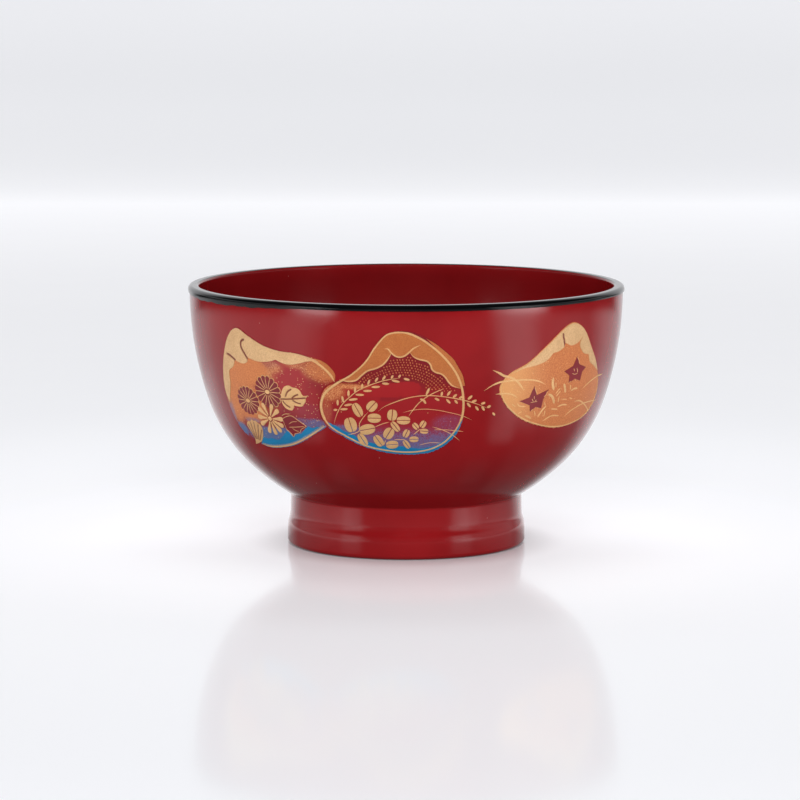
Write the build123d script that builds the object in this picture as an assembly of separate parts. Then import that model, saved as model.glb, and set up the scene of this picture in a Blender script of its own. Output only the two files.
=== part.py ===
from build123d import *
import math
import os

# Lacquered wooden soup bowl with three clam shells in sprinkled gold (maki-e) on its front.
# Millimetres, +Z up. The origin is on the ground, under the middle of the bowl.
# The front of the bowl, where the middle shell is, faces -Y.

# --- Driving dimensions ---------------------------------------------------------------------

overall_height = 70.5
rim_diameter = 118.0
lip_width = 3.0               # the lip, as seen from above
lip_rise = 1.5                # from the lip's lower edge to its flat top
lip_outer_rounding = 1.1
lip_inner_rounding = 0.8
coat = 0.3                    # build-up of one lacquer coat

wall_top_radius = 58.55       # red wall just under the lip, which stands a little proud of it
cavity_top_radius = rim_diameter / 2 - lip_width
black_start_radius = cavity_top_radius + coat     # the red of the inside comes up to here

# Each profile is a chain of tangent arcs from the lip down: (radius, slope at its lower end).
# The slope is the angle from the vertical, in degrees, and both chains start vertical.
wall_arcs = [(91.0, 19.3), (42.5, 47.0), (65.5, 62.0)]
cavity_upper_arcs = [(88.0, 19.3), (36.0, 65.0)]

foot_top_radius = 31.4
foot_waist_radius = 31.5
foot_flare_radius = 32.3
foot_waist_height = 9.4
foot_flare_height = 4.0
foot_edge_rounding = 1.2
recess_wall_radius = 28.0
recess_edge_rounding = 0.6
recess_corner_rounding = 1.5
recess_depth = 6.5
ground_ring_inner_radius = recess_wall_radius + recess_edge_rounding
ground_ring_outer_radius = foot_flare_radius - foot_edge_rounding

ground_build = 0.10           # sprinkled powder ground on the red lacquer
gold_build = 0.12             # how far raised gold stands above the ground
bedding = 0.01                # hair gap under the decoration, so that no two solids share a face

smallest_island = 0.05        # cubic millimetres: slivers left between two motifs are dropped

lip_height = overall_height - lip_rise
foot_blend_height = 24.0      # the foot is drawn up to here, inside the wall
decoration_reach = (20.0, 80.0)     # distances from the axis that an outline is cut between

# --- Where each shell sits, and the outlines drawn on it --------------------------------------
# Azimuth is the angle round the bowl from the front, to the right. Outlines are seen square on
# from that azimuth: (sideways from the shell's own centre line, height above the ground).

left_azimuth = -40.0
centre_azimuth = 0.0
right_azimuth = 46.0

# A shape with cusps is a chain of curves: each one starts where the one before ends.
# The left shell's second curve is where the middle shell lies over it.
left_shell = [
    [(15.6, 38.0), (13.9, 36.9), (6.8, 33.1), (0.5, 31.2), (-5.1, 30.4), (-9.5, 31.0), (-14.3, 33.7),
     (-17.3, 38.1), (-18.6, 43.5), (-18.2, 48.5), (-16.4, 54.9), (-13.6, 60.1), (-9.7, 62.7),
     (-5.0, 60.9), (0.0, 58.9), (5.2, 57.8), (10.8, 57.4), (15.5, 56.3), (19.2, 54.4), (20.6, 52.2),
     (20.1, 50.4)],
    [(17.5, 48.8), (15.8, 46.4), (14.8, 43.6), (14.7, 41.0), (15.6, 38.0)],
]
left_cap = [
    [(-17.6, 41.6), (-18.4, 45.0), (-17.6, 50.2), (-16.0, 55.2), (-13.2, 60.3), (-9.7, 62.5),
     (-5.0, 60.7), (0.0, 58.7), (5.2, 57.6), (10.8, 57.2), (15.5, 56.0), (18.8, 54.0), (20.0, 51.2)],
    [(18.2, 53.3), (15.6, 55.2), (12.1, 54.8), (8.6, 54.2), (3.9, 55.2)],
    [(0.5, 54.4), (-2.8, 54.3), (-5.9, 54.8)],
    [(-6.2, 53.8), (-8.3, 53.2), (-11.4, 53.8)],
    [(-12.3, 52.0), (-14.5, 50.6), (-15.2, 46.8), (-17.6, 41.6)],
]
left_edge_line = [
    (15.2, 38.2), (13.6, 37.3), (9.2, 34.8), (4.2, 32.6), (-0.8, 31.4), (-5.1, 30.8), (-8.6, 31.2),
]
left_leaf = [
    (3.9, 44.6), (4.9, 47.7), (7.0, 48.6), (9.3, 47.9), (10.8, 46.4), (12.5, 46.2), (11.3, 44.3),
    (8.8, 43.0), (7.2, 42.1), (5.0, 42.4),
]
left_red_leaf = [
    (2.8, 38.6), (5.0, 40.2), (7.7, 39.3), (9.9, 37.8), (7.4, 36.1), (5.0, 34.8), (3.3, 36.2),
]
left_bud = [
    (-11.7, 36.5), (-9.5, 37.9), (-6.4, 37.1), (-5.6, 35.6), (-7.3, 32.4), (-11.0, 30.9),
    (-10.5, 34.0),
]

centre_shell = [
    (-1.4, 63.9), (-5.6, 62.7), (-8.1, 59.7), (-11.7, 54.9), (-16.4, 51.2), (-20.8, 48.4),
    (-22.4, 43.6), (-20.6, 38.3), (-14.9, 34.9), (-7.7, 32.3), (1.0, 30.9), (8.2, 32.6),
    (13.1, 37.4), (15.1, 44.0), (15.0, 49.8), (11.9, 56.6), (6.4, 61.2), (1.6, 63.6),
]
centre_edge_line = [
    (-1.4, 63.7), (-5.4, 62.5), (-7.8, 59.6), (-11.4, 54.6), (-16.4, 50.9), (-20.6, 48.1),
    (-22.1, 43.5), (-20.4, 38.6), (-14.8, 35.1), (-7.6, 32.6), (0.8, 31.4), (6.1, 32.4),
    (11.4, 36.2), (14.4, 41.8), (14.5, 48.4), (11.4, 54.9), (6.1, 60.4), (2.0, 62.9),
]
centre_wave_left = [
    (-16.1, 50.7), (-13.0, 51.0), (-10.0, 53.5), (-6.1, 55.3), (-3.9, 58.1), (-1.7, 57.2), (0.8, 58.4),
]
centre_wave_right = [
    (0.8, 58.4), (3.3, 56.6), (5.9, 55.6), (7.4, 53.2), (10.0, 51.7), (11.8, 49.5), (13.8, 48.7),
]

right_shell = [
    (2.6, 64.1), (-1.1, 63.1), (-6.8, 59.1), (-12.7, 54.6), (-18.0, 51.8), (-19.9, 48.4),
    (-17.8, 44.4), (-12.4, 39.9), (-4.9, 37.1), (2.6, 35.8), (10.1, 36.6), (16.7, 39.0),
    (19.2, 43.8), (17.0, 49.3), (11.1, 57.1), (7.0, 62.0),
]
right_cap = [
    [(-17.9, 51.4), (-15.4, 52.8), (-12.7, 54.3), (-6.8, 58.9), (-1.1, 62.9), (2.6, 63.9),
     (6.9, 61.9), (11.0, 56.9), (14.3, 53.1), (16.7, 49.8)],
    [(15.0, 50.5), (13.1, 51.6), (11.2, 52.8), (10.1, 54.9)],
    [(7.3, 55.7), (5.6, 57.8), (6.2, 59.9)],
    [(4.0, 58.6), (1.4, 58.0), (-0.8, 59.0)],
    [(-1.9, 57.3), (-4.7, 56.3), (-9.2, 53.9), (-13.9, 52.6), (-17.9, 51.4)],
]
right_edge_line = [
    (-19.2, 50.6), (-19.4, 47.4), (-16.4, 43.2), (-9.9, 39.0), (-2.4, 36.8), (5.1, 36.2),
    (12.6, 37.4), (17.9, 40.4), (18.9, 45.7), (16.6, 49.8),
]
bellflower_low = [
    (-9.6, 48.2), (-8.3, 45.7), (-4.4, 46.9), (-5.7, 44.3), (-5.7, 41.9), (-7.8, 42.4),
    (-9.3, 41.3), (-9.9, 43.0), (-13.5, 44.4), (-10.6, 45.2),
]
bellflower_high = [
    (5.0, 55.0), (6.5, 52.6), (9.7, 51.6), (8.2, 50.4), (7.6, 48.0), (5.3, 48.8),
    (2.9, 47.9), (2.7, 49.9), (0.2, 51.3), (3.6, 52.4),
]

# A leaf or petal is an ellipse: (sideways, height, half length, half width, tilt in degrees).
clover_leaves = [
    (-12.6, 43.0, 2.0, 1.15, 118), (-8.9, 44.1, 1.55, 1.3, 50), (-8.3, 40.9, 1.75, 1.25, 0),
    (-14.4, 38.9, 2.0, 1.6, 107), (-10.1, 37.8, 2.05, 1.4, 12), (-11.3, 34.9, 1.9, 1.0, 122),
    (-3.7, 41.8, 1.5, 1.3, 85), (-0.8, 40.4, 1.75, 1.1, 0), (-2.9, 38.7, 1.6, 0.8, 128),
    (-4.6, 36.8, 1.6, 1.35, 60), (-7.2, 34.7, 1.7, 1.1, 124), (-3.7, 33.7, 1.6, 1.1, 5),
    (-0.1, 36.8, 1.15, 0.85, 65), (1.9, 35.2, 1.2, 0.8, 0), (0.0, 33.8, 1.3, 0.7, 125),
    (2.3, 38.8, 1.0, 0.7, 130), (4.2, 39.3, 1.0, 0.8, 60), (4.5, 37.4, 1.1, 0.7, -5),
]
clover_stems = [
    [(-18.7, 39.2), (-17.3, 43.1), (-14.5, 46.5), (-10.4, 49.3), (-5.8, 51.0), (-1.7, 51.7)],
    [(-7.2, 42.8), (-3.2, 45.3), (3.0, 46.9), (9.2, 46.7), (15.5, 45.3), (20.8, 43.1)],
    [(0.5, 41.5), (3.3, 45.3), (7.4, 47.9), (9.6, 48.8)],
]
grass_blades = [
    [(-16.5, 50.2), (-13.3, 50.1), (-9.3, 49.6), (-5.9, 48.4)],
    [(9.7, 45.5), (13.3, 47.2), (17.0, 48.2), (19.6, 48.4)],
    [(7.0, 42.4), (9.8, 42.4), (13.3, 41.0), (17.6, 38.4)],
    [(3.6, 38.2), (7.0, 40.1), (11.7, 41.3), (16.4, 41.5)],
]

line_width = 0.55             # gold outline of a shell
thin_line_width = 0.35        # wavy line and blades
stem_width = 0.25

# A chrysanthemum is (sideways, height, radius). The shares are of that radius.
red_flowers = [(-0.4, 46.3, 4.4), (-8.6, 43.2, 4.1)]
red_flower_petals = 16
gold_flower = (-1.5, 39.0, 4.5)
gold_flower_petals = 11
flower_disc_share = 0.35
petal_middle_share = 0.62     # from the flower's middle to the middle of a petal
petal_half_length_share = 1 - petal_middle_share


# --- Profiles ---------------------------------------------------------------------------------

def outward(slope):
    """Unit vector square to a profile whose slope from the vertical is given in degrees."""
    angle = math.radians(slope)
    return Vector(math.cos(angle), -math.sin(angle))


def arc_chain(start_radius, arcs, inset):
    """Tangent arcs from the lip down, moved inwards by inset: their edges and lowest point."""
    point = Vector(start_radius, lip_height)
    slope = 0.0
    edges = []
    for radius, end_slope in arcs:
        centre = point - outward(slope) * radius
        slopes = (slope, (slope + end_slope) / 2, end_slope)
        edges.append(ThreePointArc(*(centre + outward(s) * (radius - inset) for s in slopes)))
        point = centre + outward(end_slope) * radius
        slope = end_slope
    return edges, edges[-1] @ 1


def spin(edges):
    """Turn a closed chain of edges, drawn as (radius, height), about the bowl's axis."""
    return revolve(Plane.XZ * Face(Wire(edges)), Axis.Z)


def bowl_form(start_radius, arcs, inset):
    """The full turned form inside a chain of arcs, flat on top at the height of the lip."""
    edges, lowest = arc_chain(start_radius, arcs, inset)
    rest = Polyline(lowest, (0, lowest.Y), (0, lip_height), (start_radius - inset, lip_height))
    return spin(edges + rest.edges())


def wall_form(inset):
    """The bowl's outer form without its foot, moved inwards by inset."""
    return bowl_form(wall_top_radius, wall_arcs, inset)


def cavity_form(inset):
    """The bowl's hollow. Its last arc is level where it meets the axis."""
    lowest = arc_chain(cavity_top_radius, cavity_upper_arcs, 0.0)[1]
    floor_radius = lowest.X / outward(cavity_upper_arcs[-1][1]).X
    return bowl_form(cavity_top_radius, cavity_upper_arcs + [(floor_radius, 90.0)], inset)


def foot_form(inset):
    """The foot with its recess, moved in under its own surface by inset."""
    flare = foot_flare_radius - inset
    waist = foot_waist_radius - inset
    recess = recess_wall_radius + inset
    halfway = (foot_waist_height + foot_flare_height) / 2
    recess_corner = (recess_wall_radius - recess_corner_rounding, recess_depth - recess_corner_rounding)
    down = Polyline((0, foot_blend_height), (foot_top_radius - inset, foot_blend_height),
                    (waist, foot_waist_height))
    bell = Bezier((waist, foot_waist_height), (waist, halfway), (flare, halfway), (flare, foot_flare_height))
    side = Line((flare, foot_flare_height), (flare, foot_edge_rounding))
    edge = CenterArc((ground_ring_outer_radius, foot_edge_rounding), foot_edge_rounding - inset, 270, 90)
    ground = Line((ground_ring_outer_radius, inset), (ground_ring_inner_radius, inset))
    lip = CenterArc((ground_ring_inner_radius, recess_edge_rounding), recess_edge_rounding - inset, 180, 90)
    wall = Line((recess, recess_edge_rounding), (recess, recess_corner[1]))
    corner = CenterArc(recess_corner, recess_corner_rounding + inset, 0, 90)
    ceiling = Polyline((recess_corner[0], recess_depth + inset), (0, recess_depth + inset),
                       (0, foot_blend_height))
    return spin(down.edges() + [bell, side, edge, ground, lip, wall, corner] + ceiling.edges())


def outer_form(inset):
    """The whole outside of the bowl, wall and foot, moved in under its surface by inset."""
    return wall_form(inset) + foot_form(inset)


def lip_ring(inner_radius, outer_radius, inset):
    """The flat-topped ring that stands on the wall's top, with its top moved down by inset."""
    outer_rounding = lip_outer_rounding - inset
    inner_rounding = lip_inner_rounding - inset
    outer_centre = (outer_radius - outer_rounding, overall_height - lip_outer_rounding)
    inner_centre = (inner_radius + inner_rounding, overall_height - lip_inner_rounding)
    top = overall_height - inset
    outside = Line((outer_radius, lip_height), (outer_radius, outer_centre[1]))
    outer_corner = CenterArc(outer_centre, outer_rounding, 0, 90)
    across = Line((outer_centre[0], top), (inner_centre[0], top))
    inner_corner = CenterArc(inner_centre, inner_rounding, 90, 90)
    back = Polyline((inner_radius, inner_centre[1]), (inner_radius, lip_height), (outer_radius, lip_height))
    return spin([outside, outer_corner, across, inner_corner] + back.edges())


def foot_corner_height():
    """Height at which the wall's lowest arc meets the foot."""
    lowest_radius, lowest_slope = wall_arcs[-1]
    end = arc_chain(wall_top_radius, wall_arcs, 0.0)[1]
    centre = end - outward(lowest_slope) * lowest_radius
    return centre.Y - math.sqrt(lowest_radius ** 2 - (foot_top_radius - centre.X) ** 2)


# --- Body: turned wood and its lacquer coats ---------------------------------------------------

def wood_core():
    """Bowl and foot, turned in one from a single block."""
    lip = lip_ring(cavity_top_radius + coat, wall_top_radius - coat, coat)
    return outer_form(coat) - cavity_form(-coat) + lip, lip


def outside_coats():
    """The outside coat, in its three stretches: wall, foot and foot recess."""
    skin = outer_form(0.0) - outer_form(coat)
    corner_height = foot_corner_height()
    aligned = (Align.CENTER, Align.CENTER, Align.MIN)
    above_foot = Pos(0, 0, corner_height) * Cylinder(rim_diameter, overall_height, align=aligned)
    recess_plug = Cylinder(ground_ring_inner_radius, corner_height, align=aligned)
    below = skin - above_foot
    return skin & above_foot, below - recess_plug, below & recess_plug


# --- Decoration: thin layers that follow the wall ----------------------------------------------

def closed_curve(points):
    """Face inside one smooth closed curve."""
    return Face(Wire([Spline(*points, periodic=True)]))


def cusped_curve(stretches):
    """Face inside a chain of curves that meet at cusps."""
    edges = []
    start = []
    for stretch in stretches:
        edges.append(Spline(*(start + stretch)))
        start = [stretch[-1]]
    return Face(Wire(edges))


def shifted(points, distance, closed=False):
    """The same points, each moved to the left of the line by distance."""
    moved = []
    last = len(points) - 1
    for index, (x, y) in enumerate(points):
        before = points[index - 1] if closed or index > 0 else points[0]
        after = points[(index + 1) % len(points)] if closed or index < last else points[last]
        along = Vector(after[0] - before[0], after[1] - before[1]).normalized()
        moved.append((x - along.Y * distance, y + along.X * distance))
    return moved


def stroke(points, width):
    """Face of an open line with the given width."""
    left = shifted(points, width / 2)
    right = shifted(points, -width / 2)
    sides = [Spline(*left), Spline(*right)]
    ends = [Line(left[0], right[0]), Line(left[-1], right[-1])]
    return Face(Wire(sides + ends))


def closed_stroke(points, width):
    """Face of a closed line with the given width, inside its outline."""
    return closed_curve(points) - closed_curve(shifted(points, width, closed=True))


def leaf(x, y, half_length, half_width, tilt):
    """An elliptical leaf or petal."""
    return Pos(x, y) * Rot(0, 0, tilt) * Ellipse(half_length, half_width)


def rosette(x, y, radius, petals):
    """A chrysanthemum: petals round a middle disc."""
    flower = Pos(x, y) * Circle(radius * flower_disc_share)
    middle = radius * petal_middle_share
    half_length = radius * petal_half_length_share
    half_width = math.pi * middle / petals
    for index in range(petals):
        tilt = index * 360 / petals
        angle = math.radians(tilt)
        flower += leaf(x + middle * math.cos(angle), y + middle * math.sin(angle),
                       half_length, half_width, tilt)
    return flower


def joined(faces):
    """One sketch of several faces."""
    result = faces[0]
    for face in faces[1:]:
        result = result + face
    return result


def without_overlaps(shapes):
    """Cut each named shape back from all the shapes listed before it."""
    cut = {}
    for name, shape in shapes.items():
        for earlier in cut.values():
            shape = shape - earlier
        cut[name] = shape
    return cut


def beam(shape, azimuth):
    """The outline's beam through the wall, square to it at the shell's azimuth."""
    angle = math.radians(azimuth)
    plane = Plane(origin=(0, 0, 0), x_dir=(math.cos(angle), math.sin(angle), 0),
                  z_dir=(math.sin(angle), -math.cos(angle), 0))
    near, far = decoration_reach
    return extrude(plane.offset(near) * shape, amount=far - near, dir=plane.z_dir)


def left_motifs():
    return without_overlaps({
        "left_gold_chrysanthemum": rosette(*gold_flower, gold_flower_petals),
        "left_gold_leaf": closed_curve(left_leaf),
        "left_gold_bud": closed_curve(left_bud),
        "left_red_leaf": closed_curve(left_red_leaf),
        "left_red_chrysanthemums": joined([rosette(*f, red_flower_petals) for f in red_flowers]),
        "left_gold_cap": cusped_curve(left_cap),
        "left_gold_edge_line": stroke(left_edge_line, thin_line_width),
    })


def centre_motifs():
    waves = [stroke(wave, thin_line_width) for wave in (centre_wave_left, centre_wave_right)]
    return without_overlaps({
        "centre_gold_edge_line": closed_stroke(centre_edge_line, line_width),
        "centre_gold_wave_line": joined(waves),
        "centre_bush_clover_leaves": joined([leaf(*clover_leaf) for clover_leaf in clover_leaves]),
        "centre_bush_clover_stems": joined([stroke(stem, stem_width) for stem in clover_stems]),
    })


def right_motifs():
    flowers = [Face(Wire(Polyline(*star, close=True).edges())) for star in (bellflower_low, bellflower_high)]
    return without_overlaps({
        "right_bellflowers": joined(flowers),
        "right_gold_cap": cusped_curve(right_cap),
        "right_gold_edge_line": stroke(right_edge_line, thin_line_width),
        "right_grass_blades": joined([stroke(blade, thin_line_width) for blade in grass_blades]),
    })


def without_slivers(shape):
    """The same layer without islands too small to be painted."""
    return Compound([island for island in shape.solids() if island.volume > smallest_island])


def build_shell(name, outline, motifs, azimuth):
    """One shell's layers: its powder ground, with its raised motifs let into it."""
    ground = outline
    for motif in motifs.values():
        ground = ground - motif
    bare = wall_form(-bedding)
    ground_layer = wall_form(-ground_build) - bare
    raised_layer = wall_form(-ground_build - gold_build) - bare
    layers = {name: without_slivers(ground_layer & beam(ground, azimuth))}
    for motif_name, motif in motifs.items():
        layers[motif_name] = without_slivers(raised_layer & beam(motif, azimuth))
    return layers


# --- The whole bowl ----------------------------------------------------------------------------

def build_nodes():
    core, lip = wood_core()
    wall_coat, foot_coat, recess_coat = outside_coats()
    lip_coat = lip_ring(cavity_top_radius, rim_diameter / 2, 0.0) - lip
    red_reach = Cylinder(black_start_radius, 2 * overall_height)
    nodes = {
        "wood_core": core,
        "wall_lacquer": wall_coat,
        "foot_lacquer": foot_coat,
        "foot_recess_lacquer": recess_coat,
        "inner_lacquer": cavity_form(-coat) - cavity_form(0.0) + (lip_coat & red_reach),
        "rim_lacquer": lip_coat - red_reach,
    }
    nodes.update(build_shell("left_shell_ground", cusped_curve(left_shell), left_motifs(), left_azimuth))
    nodes.update(build_shell("centre_shell_ground", closed_curve(centre_shell), centre_motifs(),
                             centre_azimuth))
    nodes.update(build_shell("right_shell_ground", closed_curve(right_shell), right_motifs(),
                             right_azimuth))
    return nodes


os.makedirs("parts", exist_ok=True)
for node_name, solid in build_nodes().items():
    export_step(solid, f"parts/{node_name}.step")
    size = solid.bounding_box().size
    print(f"{node_name:28s} {size.X:7.2f} {size.Y:7.2f} {size.Z:7.2f} mm  {solid.volume:10.2f} mm3")
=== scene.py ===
import math
import random

import bpy
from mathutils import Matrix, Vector, geometry


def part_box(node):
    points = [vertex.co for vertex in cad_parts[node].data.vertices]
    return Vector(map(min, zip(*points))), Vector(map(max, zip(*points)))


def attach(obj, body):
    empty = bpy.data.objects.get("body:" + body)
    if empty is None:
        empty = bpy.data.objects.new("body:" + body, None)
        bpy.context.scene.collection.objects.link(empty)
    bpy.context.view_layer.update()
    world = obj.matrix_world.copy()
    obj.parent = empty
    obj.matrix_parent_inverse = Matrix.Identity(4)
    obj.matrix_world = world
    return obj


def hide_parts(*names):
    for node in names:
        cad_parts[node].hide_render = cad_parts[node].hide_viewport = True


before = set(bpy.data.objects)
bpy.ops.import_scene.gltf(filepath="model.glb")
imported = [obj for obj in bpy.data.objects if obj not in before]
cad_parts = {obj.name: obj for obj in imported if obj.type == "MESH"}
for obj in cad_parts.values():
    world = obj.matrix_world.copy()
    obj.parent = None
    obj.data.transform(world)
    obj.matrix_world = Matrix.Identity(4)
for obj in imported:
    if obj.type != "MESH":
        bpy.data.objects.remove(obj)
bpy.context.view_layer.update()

# A red lacquered soup bowl with three clam shells in sprinkled gold on its front.
# Sizes and outlines are in millimetres. An outline is seen square on from its shell's azimuth:
# (sideways, height above the ground). Only the last step turns them into Blender's metres.

MM = 0.001

# --- Sizes of the turned bowl ---------------------------------------------------------------------

LIP_WIDTH = 3.0
LIP_OUTER_ROUNDING = 1.1
LIP_INNER_ROUNDING = 0.8
LIP_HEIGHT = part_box("rim_lacquer")[0].z / MM
LIP_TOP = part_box("rim_lacquer")[1].z / MM
RIM_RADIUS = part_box("rim_lacquer")[1].x / MM
WALL_TOP_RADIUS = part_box("wall_lacquer")[1].x / MM
CAVITY_TOP_RADIUS = RIM_RADIUS - LIP_WIDTH
COAT = 0.3
BLACK_START = 129              # degrees round the lip's inner corner, where black meets red
WALL_ARCS = ((91.0, 19.3), (42.5, 47.0), (65.5, 62.0))       # radius, slope at the lower end
CAVITY_ARCS = ((88.0, 19.3), (36.0, 65.0), (76.41, 90.0))
FOOT_TOP_RADIUS = 31.4
FOOT_WAIST_RADIUS = 31.5
FOOT_WAIST_HEIGHT = 9.4
FOOT_FLARE_RADIUS = 32.3
FOOT_FLARE_HEIGHT = 4.0
FOOT_EDGE = 1.2
FOOT_CORNER = 0.8             # lacquer pooled in the corner between wall and foot
RECESS_RADIUS = 28.0
RECESS_EDGE = 0.6
RECESS_CORNER = 1.5
RECESS_DEPTH = 6.5
SEGMENTS = 384                # round the bowl
BRUSHED_AZIMUTH = -58.0       # where the black lip was brushed further down over the wall
BRUSHED_REACH = 30.0          # degrees to either side of it
BRUSHED_DROP = 0.95


def outward(slope):
    """Unit vector square to a profile with this slope from the vertical, in degrees."""
    angle = math.radians(slope)
    return Vector((math.cos(angle), -math.sin(angle)))


def tangent_arcs(top_radius, arcs):
    """Centre, radius, first and last slope of each arc of a profile, from the lip down."""
    point = Vector((top_radius, LIP_HEIGHT))
    slope = 0.0
    found = []
    for radius, end_slope in arcs:
        centre = point - outward(slope) * radius
        found.append((centre, radius, slope, end_slope))
        point = centre + outward(end_slope) * radius
        slope = end_slope
    return found


WALL = tangent_arcs(WALL_TOP_RADIUS, WALL_ARCS)


def wall_at(height):
    """Radius and slope of the red wall's surface at this height."""
    for centre, radius, first, last in WALL:
        slope = math.degrees(math.asin((centre.y - height) / radius))
        if slope <= last:
            break
    return centre.x + radius * math.cos(math.radians(slope)), slope


def on_wall(azimuth, x, height, lift):
    """Point in metres that is lift above the wall, at x sideways of this azimuth."""
    radius, slope = wall_at(height)
    out = outward(slope) * lift
    angle = math.radians(azimuth) + math.asin(x / radius)
    far = radius + out.x
    return Vector((far * math.sin(angle), -far * math.cos(angle), height + out.y)) * MM


def arc_points(centre, radius, first, last, steps):
    """Points of an arc in a profile, between two angles from the horizontal, in degrees."""
    found = []
    for index in range(steps + 1):
        angle = math.radians(first + (last - first) * index / steps)
        found.append(Vector((centre[0] + radius * math.cos(angle), centre[1] + radius * math.sin(angle))))
    return found


def arcs_profile(top_radius, arcs, offset):
    """Points down a chain of tangent arcs that is moved outwards by offset."""
    found = []
    for centre, radius, first, last in tangent_arcs(top_radius, arcs):
        steps = max(4, round((last - first) * radius / 60))
        found += arc_points(centre, radius + offset, -first, -last, steps)[:-1]
    found.append(centre + outward(last) * (radius + offset))
    return found


# --- Node materials -------------------------------------------------------------------------------

def srgb(red, green, blue):
    """Linear colour of a screen colour given as 0 to 255."""
    def linear(value):
        value = value / 255
        return value / 12.92 if value <= 0.04045 else ((value + 0.055) / 1.055) ** 2.4
    return (linear(red), linear(green), linear(blue), 1.0)


class Shader:
    """A material's node tree, with short ways to add the nodes used here."""

    def __init__(self, name):
        self.material = bpy.data.materials.new(name)
        self.material.use_nodes = True
        self.tree = self.material.node_tree
        self.surface = self.tree.nodes["Principled BSDF"]
        self.place = self.tree.nodes.new("ShaderNodeTexCoord").outputs["Object"]

    def put(self, value, socket):
        if isinstance(value, bpy.types.NodeSocket):
            self.tree.links.new(value, socket)
        else:
            socket.default_value = value

    def noise(self, scale, detail=2.0):
        node = self.tree.nodes.new("ShaderNodeTexNoise")
        self.put(self.place, node.inputs["Vector"])
        self.put(scale, node.inputs["Scale"])
        self.put(detail, node.inputs["Detail"])
        return node.outputs["Fac"]

    def grains(self, scale):
        """A random number for each grain, and the distance from its middle."""
        node = self.tree.nodes.new("ShaderNodeTexVoronoi")
        self.put(self.place, node.inputs["Vector"])
        self.put(scale, node.inputs["Scale"])
        split = self.tree.nodes.new("ShaderNodeSeparateColor")
        self.put(node.outputs["Color"], split.inputs["Color"])
        return split.outputs["Red"], node.outputs["Distance"]

    def math(self, operation, first, second=0.0):
        node = self.tree.nodes.new("ShaderNodeMath")
        node.operation = operation
        self.put(first, node.inputs[0])
        self.put(second, node.inputs[1])
        return node.outputs[0]

    def ramp(self, value, low, high, start=0.0, end=1.0):
        """Start below low, end above high, and smooth between them."""
        node = self.tree.nodes.new("ShaderNodeMapRange")
        node.interpolation_type = "SMOOTHSTEP"
        for socket, number in zip(node.inputs, (value, low, high, start, end)):
            self.put(number, socket)
        return node.outputs[0]

    def mix(self, factor, first, second):
        node = self.tree.nodes.new("ShaderNodeMix")
        node.data_type = "RGBA"
        factor_in = next(i for i in node.inputs if i.identifier == "Factor_Float")
        first_in = next(i for i in node.inputs if i.identifier == "A_Color")
        second_in = next(i for i in node.inputs if i.identifier == "B_Color")
        self.put(factor, factor_in)
        self.put(first, first_in)
        self.put(second, second_in)
        return next(o for o in node.outputs if o.identifier == "Result_Color")

    def attribute(self, name):
        node = self.tree.nodes.new("ShaderNodeAttribute")
        node.attribute_name = name
        return node.outputs

    def parts(self, vector):
        node = self.tree.nodes.new("ShaderNodeSeparateXYZ")
        self.put(vector, node.inputs[0])
        return node.outputs

    def length(self, vector):
        node = self.tree.nodes.new("ShaderNodeVectorMath")
        node.operation = "LENGTH"
        self.put(vector, node.inputs[0])
        return node.outputs["Value"]

    def channels(self, color):
        node = self.tree.nodes.new("ShaderNodeSeparateColor")
        self.put(color, node.inputs["Color"])
        return node.outputs["Red"], node.outputs["Green"], node.outputs["Blue"]

    def bump(self, height, distance, strength=1.0, after=None):
        node = self.tree.nodes.new("ShaderNodeBump")
        self.put(strength, node.inputs["Strength"])
        self.put(distance, node.inputs["Distance"])
        self.put(height, node.inputs["Height"])
        if after is not None:
            self.put(after, node.inputs["Normal"])
        return node.outputs["Normal"]

    def finish(self, color, roughness, normal=None, **plain):
        self.put(color, self.surface.inputs["Base Color"])
        self.put(roughness, self.surface.inputs["Roughness"])
        if normal is not None:
            self.put(normal, self.surface.inputs["Normal"])
        for name, value in plain.items():
            self.surface.inputs[name.replace("_", " ")].default_value = value
        return self.material


def lacquer(name, color, deep_color, roughness, dust_color=srgb(206, 150, 142)):
    """Polished lacquer: slightly clouded pigment, orange peel, and a little dust in the coat."""
    shader = Shader(name)
    pigment = shader.mix(shader.ramp(shader.noise(55.0, 3.0), 0.3, 0.7), deep_color, color)
    speck, distance = shader.grains(420.0)
    dust = shader.math("MULTIPLY", shader.math("LESS_THAN", speck, 0.05),
                       shader.ramp(distance, 0.04, 0.09, 1.0, 0.0))
    tint = shader.mix(shader.math("MULTIPLY", dust, 0.4), pigment, dust_color)
    rough = shader.ramp(shader.noise(900.0, 4.0), 0.3, 0.8, roughness, roughness + 0.04)
    peel = shader.bump(shader.noise(170.0, 1.0), 0.00002, 0.3)
    normal = shader.bump(dust, 0.00003, 0.5, peel)
    return shader.finish(tint, rough, normal, IOR=1.5)


def turned_wood():
    """Fine turned wood, under all the lacquer."""
    shader = Shader("turned_wood")
    rings = shader.tree.nodes.new("ShaderNodeTexWave")
    shader.put(shader.place, rings.inputs["Vector"])
    shader.put(180.0, rings.inputs["Scale"])
    shader.put(3.0, rings.inputs["Distortion"])
    tint = shader.mix(rings.outputs["Fac"], srgb(168, 122, 76), srgb(196, 154, 104))
    rough = shader.ramp(shader.noise(800.0), 0.3, 0.7, 0.55, 0.7)
    return shader.finish(tint, rough)


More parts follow.
